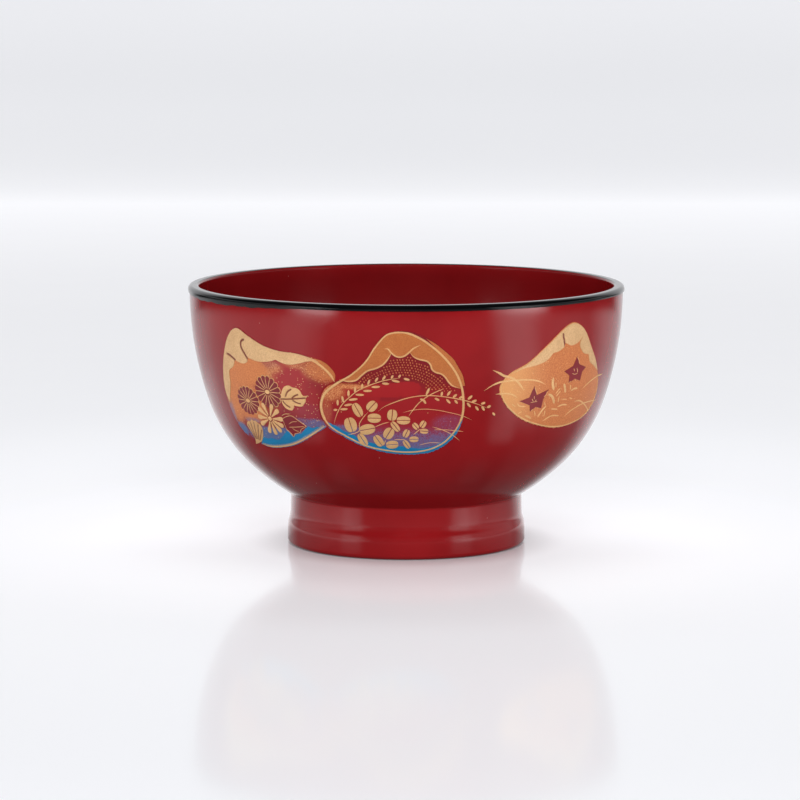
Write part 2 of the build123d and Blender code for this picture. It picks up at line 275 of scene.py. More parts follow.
def metal_powder(name, color, dark_color, metallic, roughness, grain=8000.0):
    """Burnished metal powder over lacquer. The shade attribute darkens it down to the reserve."""
    shader = Shader(name)
    tone, distance = shader.grains(grain)
    fine = shader.mix(shader.math("MULTIPLY", tone, 0.5), color, dark_color)
    worn = shader.ramp(shader.noise(230.0, 4.0), 0.35, 0.75, 0.0, 0.3)
    tint = shader.mix(worn, fine, dark_color)
    shade = shader.attribute("shade")["Fac"]
    tint = shader.mix(shade, tint, RESERVE)
    rough = shader.ramp(tone, 0.0, 1.0, roughness - 0.06, roughness + 0.08)
    normal = shader.bump(distance, 0.00003, 0.3)
    return shader.finish(tint, rough, normal, Metallic=metallic)


def powder_ground(name, dark_red, bright_red):
    """Red lacquer with powders sprinkled on it, as dense as its two attributes say.

    powder holds the density of orange, gold and blue powder, and bright the share of bright red and of paler
    orange. On the right shell both also carry a painted highlight.
    """
    shader = Shader(name)
    orange_share, gold_share, blue_share = shader.channels(shader.attribute("powder")["Color"])
    bright = shader.attribute("bright")["Fac"]
    below = shader.mix(bright, dark_red, bright_red)
    tone = shader.ramp(shader.noise(3600.0, 2.0), 0.3, 0.7)
    orange = shader.mix(tone, srgb(196, 108, 58), srgb(222, 140, 80))
    orange = shader.mix(shader.ramp(bright, 0.3, 1.0, 0.0, 0.85), orange, srgb(242, 182, 112))
    blue = shader.mix(tone, srgb(26, 104, 158), srgb(64, 130, 178))

    def settled(share, random):
        """Cover that is full at a share of 1 and none at 0, with soft grains between."""
        high = shader.math("MULTIPLY", share, 2.0)
        grains = shader.ramp(random, shader.math("SUBTRACT", high, 1.0), high, 1.0, 0.0)
        return shader.math("MULTIPLY", shader.math("ADD", share, grains), 0.5)

    grain, distance = shader.grains(6500.0)
    on_orange = settled(orange_share, grain)
    on_blue = settled(blue_share, shader.grains(5600.0)[0])
    flake, flake_distance = shader.grains(2200.0)
    flake_here = shader.math("LESS_THAN", flake, gold_share)
    on_flake = shader.math("MULTIPLY", flake_here, shader.ramp(flake_distance, 0.16, 0.34, 1.0, 0.0))
    tint = shader.mix(shader.math("MULTIPLY", on_orange, 0.94), below, orange)
    tint = shader.mix(shader.math("MULTIPLY", on_blue, 0.8), tint, blue)
    tint = shader.mix(shader.math("MULTIPLY", on_flake, 0.85), tint, srgb(244, 200, 138))
    covered = shader.math("MAXIMUM", on_orange, on_blue)
    rough = shader.ramp(covered, 0.0, 1.0, 0.2, 0.42)
    normal = shader.bump(distance, 0.00003, 0.2)
    return shader.finish(tint, rough, normal, IOR=1.5)


RESERVE = srgb(120, 26, 30)
RED = lacquer("red_lacquer", srgb(146, 22, 26), srgb(138, 19, 23), 0.12)
BLACK = lacquer("black_lacquer", srgb(6, 6, 8), srgb(2, 2, 4), 0.08, srgb(60, 60, 66))

DARK_RED = lacquer("dark_red_lacquer", srgb(136, 26, 36), srgb(122, 20, 30), 0.3)
GOLD = metal_powder("raised_gold", srgb(244, 198, 140), srgb(214, 158, 100), 0.3, 0.42, 5000.0)
PALE_GOLD = metal_powder("pale_gold", srgb(240, 198, 146), srgb(196, 146, 100), 0.25, 0.5, 4600.0)
ORANGE_GOLD = metal_powder("orange_gold", srgb(206, 126, 70), srgb(176, 88, 48), 0.2, 0.45, 5000.0)
BLUE = metal_powder("blue_powder", srgb(20, 134, 184), srgb(24, 104, 152), 0.1, 0.4)
SHELL_GROUND = powder_ground("shell_powder", srgb(126, 27, 34), srgb(160, 32, 36))

# --- Turned coats ---------------------------------------------------------------------------------

def new_object(name, vertices, faces):
    """An object with a mesh of its own, in the scene."""
    mesh = bpy.data.meshes.new(name)
    mesh.from_pydata(vertices, [], faces)
    item = bpy.data.objects.new(name, mesh)
    bpy.context.collection.objects.link(item)
    return item


def make_piece(name, vertices, faces, material, replaced=(), attributes=()):
    """Add a mesh that rides the bowl and takes a material slot.

    attributes holds (name, one number or colour for each vertex).
    """
    piece = new_object(name, vertices, faces)
    mesh = piece.data
    for attribute_name, values in attributes:
        if isinstance(values[0], tuple):
            layer = mesh.attributes.new(attribute_name, "FLOAT_COLOR", "POINT")
            layer.data.foreach_set("color", [number for value in values for number in (*value, 1.0)])
        else:
            layer = mesh.attributes.new(attribute_name, "FLOAT", "POINT")
            layer.data.foreach_set("value", values)
    mesh.shade_smooth()
    mesh.set_sharp_from_angle(angle=math.radians(40))
    mesh.materials.append(material)
    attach(piece, "root")
    if replaced:
        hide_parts(*replaced)
    return piece


def turn(node, profile, material, lower=None):
    """Turn a closed profile about the axis, in place of a CAD node. It runs upwards on its outer side.

    lower(point, azimuth) gives how far a point of the profile drops at this azimuth.
    """
    vertices = []
    rings = []
    for point in profile:
        if point.x < 1e-6:
            rings.append([len(vertices)] * SEGMENTS)
            vertices.append((0.0, 0.0, point.y * MM))
            continue
        rings.append(list(range(len(vertices), len(vertices) + SEGMENTS)))
        for step in range(SEGMENTS):
            angle = 2 * math.pi * step / SEGMENTS
            drop = lower(point, math.degrees(angle)) if lower else Vector((0.0, 0.0))
            place = (point + drop) * MM
            vertices.append((place.x * math.sin(angle), -place.x * math.cos(angle), place.y))
    faces = []
    for below, above in zip(rings, rings[1:] + rings[:1]):
        for step in range(SEGMENTS):
            after = (step + 1) % SEGMENTS
            corners = dict.fromkeys((below[step], below[after], above[after], above[step]))
            if len(corners) > 2:
                faces.append(tuple(corners))
    return make_piece(node.replace("lacquer", "coat"), vertices, faces, material, (node,))


def skin(outer):
    """Closed profile of a coat: its seen side upwards, and the same line one coat further in."""
    inner = []
    for index, point in enumerate(outer):
        before = outer[max(index - 1, 0)]
        after = outer[min(index + 1, len(outer) - 1)]
        along = (after - before).normalized()
        inward = Vector((-along.y, along.x)) * COAT
        inner.append(Vector((max(point.x + inward.x, 0.0), point.y + inward.y)))
    return outer + inner[::-1]


def spaced(points, step):
    """The same line with more points, no further apart than step."""
    found = [points[0]]
    for start, end in zip(points, points[1:]):
        count = max(1, math.ceil((end - start).length / step))
        found += [start.lerp(end, index / count) for index in range(1, count + 1)]
    return found


def corner_arc():
    """Lacquer pooled in the corner: an arc that touches the foot's side and the wall's underside."""
    centre, radius, first, last = WALL[-1]
    x = FOOT_TOP_RADIUS + FOOT_CORNER
    y = centre.y - math.sqrt((radius + FOOT_CORNER) ** 2 - (x - centre.x) ** 2)
    wall_angle = math.degrees(math.atan2(centre.y - y, centre.x - x))
    return arc_points((x, y), FOOT_CORNER, 180, wall_angle, 6)


def foot_profile():
    """The foot's seen side, from its ground ring's inner edge up to the corner with the wall."""
    ring = [Vector((RECESS_RADIUS + RECESS_EDGE, 0.0)), Vector((FOOT_FLARE_RADIUS - FOOT_EDGE, 0.0))]
    edge = arc_points((FOOT_FLARE_RADIUS - FOOT_EDGE, FOOT_EDGE), FOOT_EDGE, -90, 0, 8)
    halfway = (FOOT_WAIST_HEIGHT + FOOT_FLARE_HEIGHT) / 2
    bell = geometry.interpolate_bezier(
        Vector((FOOT_FLARE_RADIUS, FOOT_FLARE_HEIGHT)), Vector((FOOT_FLARE_RADIUS, halfway)),
        Vector((FOOT_WAIST_RADIUS, halfway)), Vector((FOOT_WAIST_RADIUS, FOOT_WAIST_HEIGHT)), 14)
    return ring + edge[1:] + list(bell) + corner_arc()


def recess_profile():
    """The recess under the foot, from its middle out to the ground ring."""
    middle = RECESS_RADIUS - RECESS_CORNER
    ceiling = [Vector((0.0, RECESS_DEPTH)), Vector((middle, RECESS_DEPTH))]
    corner = arc_points((middle, RECESS_DEPTH - RECESS_CORNER), RECESS_CORNER, 90, 0, 6)
    edge = arc_points((RECESS_RADIUS + RECESS_EDGE, RECESS_EDGE), RECESS_EDGE, 180, 270, 5)
    return spaced(ceiling, 3.0) + corner[1:] + edge


def rim_profile():
    """The black lip, from its lower edge outside over its flat top, and back under it."""
    outer = (RIM_RADIUS - LIP_OUTER_ROUNDING, LIP_TOP - LIP_OUTER_ROUNDING)
    inner = (CAVITY_TOP_RADIUS + LIP_INNER_ROUNDING, LIP_TOP - LIP_INNER_ROUNDING)
    foot = [Vector((WALL_TOP_RADIUS - 0.02, LIP_HEIGHT - 0.12)),
            Vector((WALL_TOP_RADIUS + 0.08, LIP_HEIGHT - 0.12)),
            Vector((RIM_RADIUS - 0.18, LIP_HEIGHT - 0.08)),
            Vector((RIM_RADIUS - 0.05, LIP_HEIGHT - 0.03))]
    over = (arc_points(outer, LIP_OUTER_ROUNDING, 0, 90, 14)
            + arc_points(inner, LIP_INNER_ROUNDING, 90, BLACK_START, 6))
    under = (arc_points(inner, LIP_INNER_ROUNDING - COAT, BLACK_START, 90, 5)
             + arc_points(outer, LIP_OUTER_ROUNDING - COAT, 90, 0, 8))
    return foot + over + under


def cavity_profile():
    """The red inside, from the lip's inner corner down to the middle of the floor."""
    inner = (CAVITY_TOP_RADIUS + LIP_INNER_ROUNDING, LIP_TOP - LIP_INNER_ROUNDING)
    corner = arc_points(inner, LIP_INNER_ROUNDING - 0.01, BLACK_START - 5, 180, 8)
    side = arcs_profile(CAVITY_TOP_RADIUS, CAVITY_ARCS, 0.0)
    side[-1].x = 0.0
    return corner + side


def lip_drop(point, azimuth):
    """How far the black lip's lower edge drops where it was brushed on unevenly."""
    if point.x < WALL_TOP_RADIUS - 0.1 or point.y > LIP_HEIGHT - 0.02:
        return Vector((0.0, 0.0))
    turned = (azimuth + 180.0) % 360.0 - 180.0
    reach = max(0.0, 1.0 - ((turned - BRUSHED_AZIMUTH) / BRUSHED_REACH) ** 2)
    uneven = 0.8 + 0.1 * math.sin(math.radians(31.0 * turned)) + 0.1 * math.sin(math.radians(73.0 * turned))
    down = BRUSHED_DROP * reach * uneven
    return Vector((-0.1 * down, -down))


corner_end = corner_arc()[-1]
wall_profile = [p for p in arcs_profile(WALL_TOP_RADIUS, WALL_ARCS, 0.0) if p.x > corner_end.x + 0.2]
turn("wall_lacquer", skin([corner_end] + wall_profile[::-1]), RED)
turn("foot_lacquer", skin(foot_profile()), RED)
turn("foot_recess_lacquer", skin(recess_profile()), BLACK)
turn("inner_lacquer", skin(cavity_profile()), RED)
turn("rim_lacquer", rim_profile(), BLACK, lip_drop)

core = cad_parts["wood_core"]
core.data.materials.clear()
core.data.materials.append(turned_wood())

# --- Tools for the decoration ---------------------------------------------------------------------

LEFT = -40.0                  # azimuths of the three shells
CENTRE = 0.0
RIGHT = 46.0
ON_WALL = 0.01                # undersides, as heights above the red wall
IN_GROUND = 0.05
IN_RAISED = 0.08
GROUND_TOP = 0.10             # tops, as heights above the red wall
RAISED_TOP = 0.22
LINE_TOP = 0.24
chance = random.Random(7)


def spline(points, step, closed=False):
    """Points about one step apart on a smooth curve through the given ones."""
    knots = [Vector(point) for point in points]
    count = len(knots)
    found = []
    for index in range(count if closed else count - 1):
        start = knots[index]
        end = knots[(index + 1) % count]
        before = knots[index - 1] if closed or index > 0 else start * 2 - end
        after = knots[(index + 2) % count] if closed or index + 2 < count else end * 2 - start
        length = (end - start).length
        leave = (end - before) / (length + (start - before).length) * length / 3
        arrive = (after - start) / (length + (after - end).length) * length / 3
        steps = max(2, round(length / step)) + 1
        found += geometry.interpolate_bezier(start, start + leave, end - arrive, end, steps)[:-1]
    if not closed:
        found.append(knots[-1])
    return [Vector((point[0], point[1])) for point in found]


def cusped(stretches, step):
    """A closed outline from smooth curves that meet at cusps: each starts where the last ends."""
    found = []
    start = stretches[-1][-1]
    for stretch in stretches:
        points = list(stretch) if stretch[0] == start else [start, *stretch]
        found += spline(points, step)[:-1]
        start = stretch[-1]
    return found


def area(outline):
    """Area inside an outline, which is negative if it runs clockwise."""
    pairs = zip(outline, outline[1:] + outline[:1])
    return sum(a.x * b.y - b.x * a.y for a, b in pairs) / 2


def away(outline, index):
    """Unit vector out of a counterclockwise outline at one of its points."""
    along = outline[(index + 1) % len(outline)] - outline[index - 1]
    return Vector((along.y, -along.x)).normalized()


def grown(outline, distance):
    """The outline moved outwards by distance, or inwards if it is negative."""
    return [point + away(outline, index) * distance for index, point in enumerate(outline)]


def roughened(outline, amount, where):
    """The outline with each point that where(point) picks moved out or in at random."""
    return [point + away(outline, index) * chance.uniform(-amount, amount) if where(point) else point
            for index, point in enumerate(outline)]


def inside(point, outline):
    """Whether a point lies inside an outline."""
    odd = False
    for a, b in zip(outline, outline[1:] + outline[:1]):
        if (a.y > point.y) != (b.y > point.y) and point.x < a.x + (b.x - a.x) * (point.y - a.y) / (b.y - a.y):
            odd = not odd
    return odd


def gap(point, line):
    """Distance from a point to an open line."""
    nearest = 1e9
    for a, b in zip(line, line[1:]):
        along = b - a
        share = max(0.0, min(1.0, (point - a).dot(along) / max(along.length_squared, 1e-9)))
        nearest = min(nearest, (point - a - along * share).length)
    return nearest


def fade(value, start, end):
    """0 at start, 1 at end, smooth between them."""
    share = max(0.0, min(1.0, (value - start) / (end - start)))
    return share * share * (3 - 2 * share)


def blobs(point, shapes):
    """The strongest of several soft ovals (x, height, half width, half height, strength)."""
    best = 0.0
    for x, z, wide, high, strength in shapes:
        reach = math.hypot((point.x - x) / wide, (point.y - z) / high)
        best = max(best, strength * fade(reach, 1.35, 0.65))
    return best


class Layer:
    """Closed thin shapes on the wall at one shell's azimuth, gathered into one piece."""

    def __init__(self, azimuth):
        self.azimuth = azimuth
        self.vertices = []
        self.faces = []
        self.flat = []            # the same vertices in the outline's plane

    def add(self, point, lift):
        """Add a vertex that is lift above the wall, and return its number."""
        self.vertices.append(on_wall(self.azimuth, point.x, point.y, lift))
        self.flat.append(point)
        return len(self.vertices) - 1

    def relief(self, outline, low, high, step=0.6, bevel=0.05, dip=None):
        """A plateau with any outline. dip(point) lowers its top. Returns the layer."""
        if area(outline) < 0:
            outline = outline[::-1]
        top_edge = grown(outline, -bevel)
        points = list(top_edge)
        xs = [p.x for p in outline]
        zs = [p.y for p in outline]
        row = 0
        z = min(zs) + step / 2
        while z < max(zs):
            x = min(xs) + (step / 2 if row % 2 else 0)
            while x < max(xs):
                spot = Vector((x, z))
                if inside(spot, top_edge) and gap(spot, top_edge + top_edge[:1]) > step * 0.45:
                    points.append(spot)
                x += step
            z += step * 0.87
            row += 1
        edges = [(i, (i + 1) % len(top_edge)) for i in range(len(top_edge))]
        found, _, triangles, *_ = geometry.delaunay_2d_cdt(points, edges, [], 1, 1e-6)
        sides = set()
        for triangle in triangles:
            for a, b in zip(triangle, triangle[1:] + triangle[:1]):
                sides.add((a, b))
        border = [(a, b) for a, b in sides if (b, a) not in sides]
        push = {}
        for a, b in border:
            along = found[b] - found[a]
            out = Vector((along.y, -along.x)).normalized() * bevel / 2
            for corner in (a, b):
                push[corner] = push.get(corner, Vector((0.0, 0.0))) + out
        tops = [self.add(p, high - (dip(p) if dip else 0.0)) for p in found]
        bottoms = [self.add(p + push.get(i, Vector((0.0, 0.0))), low) for i, p in enumerate(found)]
        for a, b, c in triangles:
            self.faces.append((tops[a], tops[b], tops[c]))
            self.faces.append((bottoms[c], bottoms[b], bottoms[a]))
        for a, b in border:
            self.faces.append((bottoms[a], bottoms[b], tops[b], tops[a]))
        return self

    def pad(self, outline, low, high, crown=0.04, bevel=0.05):
        """A small domed shape with an outline that its middle can see all of."""
        if area(outline) < 0:
            outline = outline[::-1]
        middle = sum(outline, Vector((0.0, 0.0))) / len(outline)
        size = sum((p - middle).length for p in outline) / len(outline)
        edge = max(0.5, 1 - bevel / size)
        rings = []
        for share, lift in ((1.0, low), (edge, high), (0.6, high + crown * 0.7)):
            rings.append([self.add(middle.lerp(p, share), lift) for p in outline])
        top = self.add(middle, high + crown)
        bottom = self.add(middle, low)
        count = len(outline)
        for i in range(count):
            j = (i + 1) % count
            self.faces.append((rings[0][j], rings[0][i], bottom))
            self.faces.append((rings[0][i], rings[0][j], rings[1][j], rings[1][i]))
            self.faces.append((rings[1][i], rings[1][j], rings[2][j], rings[2][i]))
            self.faces.append((rings[2][i], rings[2][j], top))

    def line(self, points, width, low, high, tips=(0.2, 0.2), closed=False, widths=None):
        """A half-round line. tips are its widths at both ends, as shares of its width."""
        count = len(points)
        across = ((1.0, 0.0), (0.72, 0.72), (0.0, 1.0), (-0.72, 0.72), (-1.0, 0.0))
        rings = []
        for index, point in enumerate(points):
            before = points[index - 1] if closed or index > 0 else point
            after = points[(index + 1) % count] if closed or index < count - 1 else point
            along = (after - before).normalized()
            left = Vector((-along.y, along.x))
            place = index / (count - 1)
            taper = 1.0
            if not closed:
                taper = min(1.0, tips[0] + place * 5, tips[1] + (1 - place) * 5)
            half = (widths(point) if widths else width) * taper / 2
            rise = (high - low) * (0.4 + 0.6 * taper)
            rings.append([self.add(point + left * side * half, low + rise * up) for side, up in across])
        last = len(across) - 1
        for index in range(count if closed else count - 1):
            here = rings[index]
            there = rings[(index + 1) % count]
            for j in range(last):
                self.faces.append((here[j], here[j + 1], there[j + 1], there[j]))
            self.faces.append((here[last], here[0], there[0], there[last]))
        if not closed:
            self.faces.append(tuple(rings[0][::-1]))
            self.faces.append(tuple(rings[-1]))

    def strokes(self, lines, step, *measures):
        """A half-round line along the smooth curve through each set of points."""
        for points in lines:
            self.line(spline(points, step), *measures)

    def finish(self, name, material, slot, replaced=(), attributes=()):
        """Make the piece. attributes holds (name, function of a point in the outline's plane)."""
        values = [(key, [value_at(point) for point in self.flat]) for key, value_at in attributes]
        return make_piece(name, self.vertices, self.faces, material, replaced, values)


def tilted(x, z, tilt, shape):
    """A shape of (along, aside) points, turned by tilt and moved to x and height z."""
    turn_by = math.radians(tilt)
    return [Vector((x + along * math.cos(turn_by) - aside * math.sin(turn_by),
                    z + along * math.sin(turn_by) + aside * math.cos(turn_by))) for along, aside in shape]


def oval(x, z, half_length, half_width, tilt, steps=20):
    angles = [math.radians(360 * index / steps) for index in range(steps)]
    return tilted(x, z, tilt, [(half_length * math.cos(a), half_width * math.sin(a)) for a in angles])


def half_leaf(x, z, half_length, half_width, tilt, side, rib):
    """One half of a leaf, left clear of the rib down its middle."""
    found = []
    steps = 12
    for index in range(steps + 1):
        angle = math.pi * index / steps
        along = half_length * math.cos(angle)
        aside = side * (rib / 2 + (half_width - rib / 2) * math.sin(angle) ** 0.8)
        found.append((along, aside))
    for index in range(1, steps // 2):
        found.append((-half_length + 2 * half_length * index / (steps // 2), side * rib / 2))
    return tilted(x, z, tilt, found)


def club_petal(x, z, inner, outer, half_width, tilt):
    """A petal that widens outwards to a round end."""
    shape = [(inner, 0.22), (inner + (outer - inner) * 0.45, 0.6), (inner + (outer - inner) * 0.72, 0.95),
             (outer - half_width * 0.55, 0.9), (outer - half_width * 0.12, 0.5), (outer, 0.0)]
    side = [(along, share * half_width) for along, share in shape]
    return tilted(x, z, tilt, side + [(along, -aside) for along, aside in side[-2::-1]])


# --- Left shell: chrysanthemums -------------------------------------------------------------------

LEFT_OUTLINE = (
    ((15.6, 38.0), (13.9, 36.9), (6.8, 33.1), (0.5, 31.2), (-5.1, 30.4), (-9.5, 31.0), (-14.3, 33.7),
     (-17.3, 38.1), (-18.6, 43.5), (-18.2, 48.5), (-16.4, 54.9), (-13.6, 60.1), (-9.7, 62.7),
     (-5.0, 60.9), (0.0, 58.9), (5.2, 57.8), (10.8, 57.4), (15.5, 56.3), (19.2, 54.4), (20.6, 52.2),
     (20.1, 50.4)),
    ((17.5, 48.8), (15.8, 46.4), (14.8, 43.6), (14.7, 41.0), (15.6, 38.0)),
)
LEFT_CAP = (
    ((-17.4, 41.6), (-18.4, 45.0), (-17.7, 50.2), (-16.0, 55.2), (-13.2, 60.3), (-9.7, 62.5),
     (-5.0, 60.7), (0.0, 58.7), (5.2, 57.6), (10.8, 57.2), (15.5, 56.0), (17.0, 55.2)),
    ((15.4, 55.5), (13.0, 55.2), (11.0, 54.6), (8.5, 54.2), (6.2, 54.4), (3.9, 55.2)),
    ((2.4, 54.7), (0.0, 54.3), (-2.8, 54.3), (-5.9, 55.0)),
    ((-6.2, 53.9), (-8.1, 53.2), (-11.4, 53.8)),
    ((-12.3, 52.1), (-14.5, 50.6), (-15.1, 46.8), (-17.4, 41.6)),
)
LEFT_GROOVES = (
    ((-14.5, 55.3), (-12.9, 54.8), (-11.2, 53.9)),
    ((-5.9, 54.6), (-6.7, 55.6), (-7.6, 56.8), (-8.2, 58.0), (-7.9, 59.2), (-6.9, 59.7)),
)
LEFT_LINE = ((13.4, 56.2), (15.3, 55.6), (16.8, 54.7), (18.4, 53.3), (19.6, 51.8), (20.2, 50.3))
LEFT_FOOT_LINE = (
    (15.6, 38.3), (13.6, 37.2), (9.2, 34.7), (4.2, 32.5), (-0.8, 31.3), (-5.1, 30.9), (-8.2, 31.3),
)
LEFT_CRESCENT = (
    ((15.6, 56.1), (17.2, 55.8), (19.2, 54.5), (20.5, 52.3), (20.4, 50.6)),
    ((19.4, 52.1), (18.2, 53.6), (16.8, 54.8), (15.6, 56.1)),
)
LEFT_BLUE = (
    ((15.7, 38.1), (13.9, 37.0), (9.3, 34.5), (4.3, 32.2), (-0.8, 31.0), (-5.1, 30.6), (-8.6, 31.3)),
    ((-7.4, 32.5), (-6.5, 33.4), (-5.0, 33.2), (-3.0, 33.4), (-1.0, 33.2), (0.8, 34.2), (2.7, 35.7)),
    ((3.6, 35.9), (4.4, 34.9), (5.5, 34.8)),
    ((6.3, 35.4), (7.7, 35.7)),
    ((9.3, 37.1), (10.5, 37.9)),
    ((11.5, 37.5), (13.2, 37.9), (15.7, 38.1)),
)
GOLD_LEAF = (
    ((4.3, 46.4), (5.0, 47.6), (5.8, 48.3), (7.0, 48.6), (8.0, 48.2)),
    ((9.4, 48.0), (10.2, 47.4), (10.9, 46.1), (12.5, 46.3)),
    ((11.6, 45.4), (11.4, 44.6), (10.8, 43.9), (10.1, 43.2), (8.8, 43.1), (7.6, 43.3)),
    ((7.4, 42.6), (6.8, 41.9), (5.9, 41.9), (4.9, 42.3), (4.1, 43.3), (3.8, 44.8)),
)
GOLD_LEAF_VEINS = (
    ((3.9, 44.7), (7.3, 45.0), (11.4, 45.5)), ((5.5, 45.6), (6.3, 46.8), (7.6, 47.6)),
    ((7.5, 45.3), (8.4, 45.9), (9.4, 46.3)), ((4.4, 44.2), (5.0, 43.4), (6.2, 42.7)),
    ((7.6, 44.6), (8.6, 44.1), (9.7, 43.9)),
)
RED_LEAF = (
    ((2.8, 39.3), (4.6, 40.1), (6.1, 40.3), (7.7, 39.3), (9.9, 37.8)),
    ((8.0, 36.8), (7.4, 36.0), (5.5, 35.4)),
    ((4.9, 34.6), (4.2, 35.6), (3.3, 36.5)),
    ((3.1, 37.8), (2.8, 39.3)),
)
RED_LEAF_LINES = (
    ((2.8, 40.1), (4.0, 40.7), (5.8, 40.8)), ((3.9, 37.1), (6.8, 37.4), (9.7, 37.8)),
    ((4.4, 37.9), (5.8, 38.7), (7.6, 38.9)), ((5.2, 37.1), (6.2, 36.4), (7.3, 36.2)),
    ((3.2, 36.6), (4.2, 35.7), (4.9, 34.8)),
)
BUD = (
    ((-11.0, 30.9), (-10.3, 32.6), (-10.9, 34.4), (-11.8, 36.2), (-11.4, 37.0)),
    ((-10.6, 37.4), (-9.9, 37.3)), ((-9.2, 38.0), (-8.4, 37.6)), ((-7.6, 37.8), (-6.8, 37.2)),
    ((-6.0, 36.9), (-5.6, 35.6), (-6.4, 33.6), (-7.7, 32.1), (-9.3, 31.4), (-11.0, 30.9)),
)
BUD_LINES = (
    ((-9.9, 32.6), (-10.5, 34.6), (-11.2, 36.4)), ((-9.6, 32.6), (-9.8, 34.8), (-9.8, 37.0)),
    ((-9.2, 32.6), (-8.8, 35.0), (-8.4, 37.3)), ((-8.8, 32.4), (-7.8, 34.6), (-6.9, 36.8)),
    ((-8.3, 32.4), (-7.1, 33.9), (-6.1, 35.4)),
)
RED_FLOWERS = ((-0.4, 46.3, 4.5, 4.4), (-8.6, 43.2, 4.4, 3.9))    # x, height, half width, half height
RED_PETALS = 16
GOLD_FLOWER = (-1.5, 39.0)
GOLD_PETAL_ANGLES = (2, 36, 66, 112, 144, 178, 206, 247, 278, 309, 335)


def grooves(lines, width):
    """Function that is 1 on any of the lines and falls off within their width."""
    curves = [spline(line, 0.4) for line in lines]
    return lambda point: fade(min(gap(point, curve) for curve in curves), width, width * 0.35)


def left_powder(point):
    orange = blobs(point, ((-9, 51.5, 10.5, 4.8, 1.0), (-14.5, 45, 3.8, 8.5, 1.0), (0.5, 53, 5, 2.0, 0.45),
                           (17.5, 53.4, 5.5, 3.4, 0.62), (12, 54.6, 6, 1.5, 0.4), (-9, 43, 7, 6, 0.85),
                           (-8, 39, 6, 2.0, 0.6), (-2, 43, 5, 3, 0.3)))
    gold = blobs(point, ((9, 48.5, 9, 9, 0.16), (16, 51, 6, 5.5, 0.34), (14, 44, 4, 7, 0.22),
                         (-12, 40, 4, 3, 0.12), (2, 34.5, 9, 2.4, 0.2), (9, 38.5, 6, 2, 0.16)))
    blue = blobs(point, ((-17.2, 38.5, 1.3, 4.2, 0.5), (-14.8, 34.6, 2.6, 2.0, 0.9),
                         (-8.5, 37.8, 3.2, 0.7, 0.5), (-4, 34.2, 8, 2.3, 0.85), (3, 34.6, 7, 2.2, 0.85),
                         (9, 38.6, 5.5, 1.4, 0.45), (13, 38.4, 4, 1.6, 0.6), (12, 42, 4, 2, 0.1),
                         (2, 54, 3, 1.2, 0.12)))
    return orange, gold, blue


def left_bright(point):
    return 0.35 + blobs(point, ((7, 50.5, 6, 6, 0.65), (11, 45, 5, 5, 0.4), (17.5, 53, 5, 4, 0.08)))


def left_lines():
    """Gold lines at the shell's edge, the lower one with short ticks inwards."""
    lines = Layer(LEFT)
    lines.line(spline(LEFT_LINE, 0.4), 0.7, IN_GROUND, LINE_TOP + 0.02)
    foot_line = spline(LEFT_FOOT_LINE, 0.4)
    lines.line(foot_line, 0.4, IN_GROUND, LINE_TOP)
    for start, end in zip(foot_line[2:-2], foot_line[3:-1]):
        along = (end - start).normalized()
        inward = Vector((along.y, -along.x))
        tick = [start, start + inward * 0.3, start + inward * 0.6]
        lines.line(tick, 0.2, IN_GROUND, LINE_TOP - 0.02, (0.9, 0.3))
    lines.finish("left_gold_lines", GOLD, "raised_gold", ("left_gold_edge_line",))


def red_flowers():
    """Dark red petals, with a gold ray between two petals and a gold loop round the outer end of each petal
    except those facing left and down.
    """
    petals = Layer(LEFT)
    pencil = Layer(LEFT)
    half_turn = 180 / RED_PETALS
    for x, z, wide, high in RED_FLOWERS:
        middle = Vector((x, z))

        def spot(angle, share):
            turn_by = math.radians(angle)
            return middle + Vector((math.cos(turn_by) * wide, math.sin(turn_by) * high)) * share

        for index in range(RED_PETALS):
            angle = 360 * (index + 0.5) / RED_PETALS
            size = math.hypot(wide * math.cos(math.radians(angle)), high * math.sin(math.radians(angle)))
            petals.pad(club_petal(x, z, 0.5, size, 0.72, angle), IN_GROUND, RAISED_TOP - 0.05, 0.02)
            ray = 360 * index / RED_PETALS
            pencil.line([spot(ray, share) for share in (0.22, 0.45, 0.68, 0.9)], 0.27,
                        IN_RAISED, RAISED_TOP + 0.01, (0.9, 0.6))
            if math.cos(math.radians(angle - 30)) > -0.3:
                bends = ((-half_turn, 0.9), (-6.0, 0.99), (0.0, 1.02), (6.0, 0.99), (half_turn, 0.9))
                pencil.line([spot(angle + aside, share) for aside, share in bends], 0.22,
                            IN_RAISED, RAISED_TOP + 0.01, (0.7, 0.7))
        pencil.pad(oval(x, z, 0.85, 0.6, 0), IN_RAISED, RAISED_TOP + 0.02, 0.05)
    petals.finish("left_dark_red_flowers", DARK_RED, "dark_red_lacquer", ("left_red_chrysanthemums",))
    return pencil


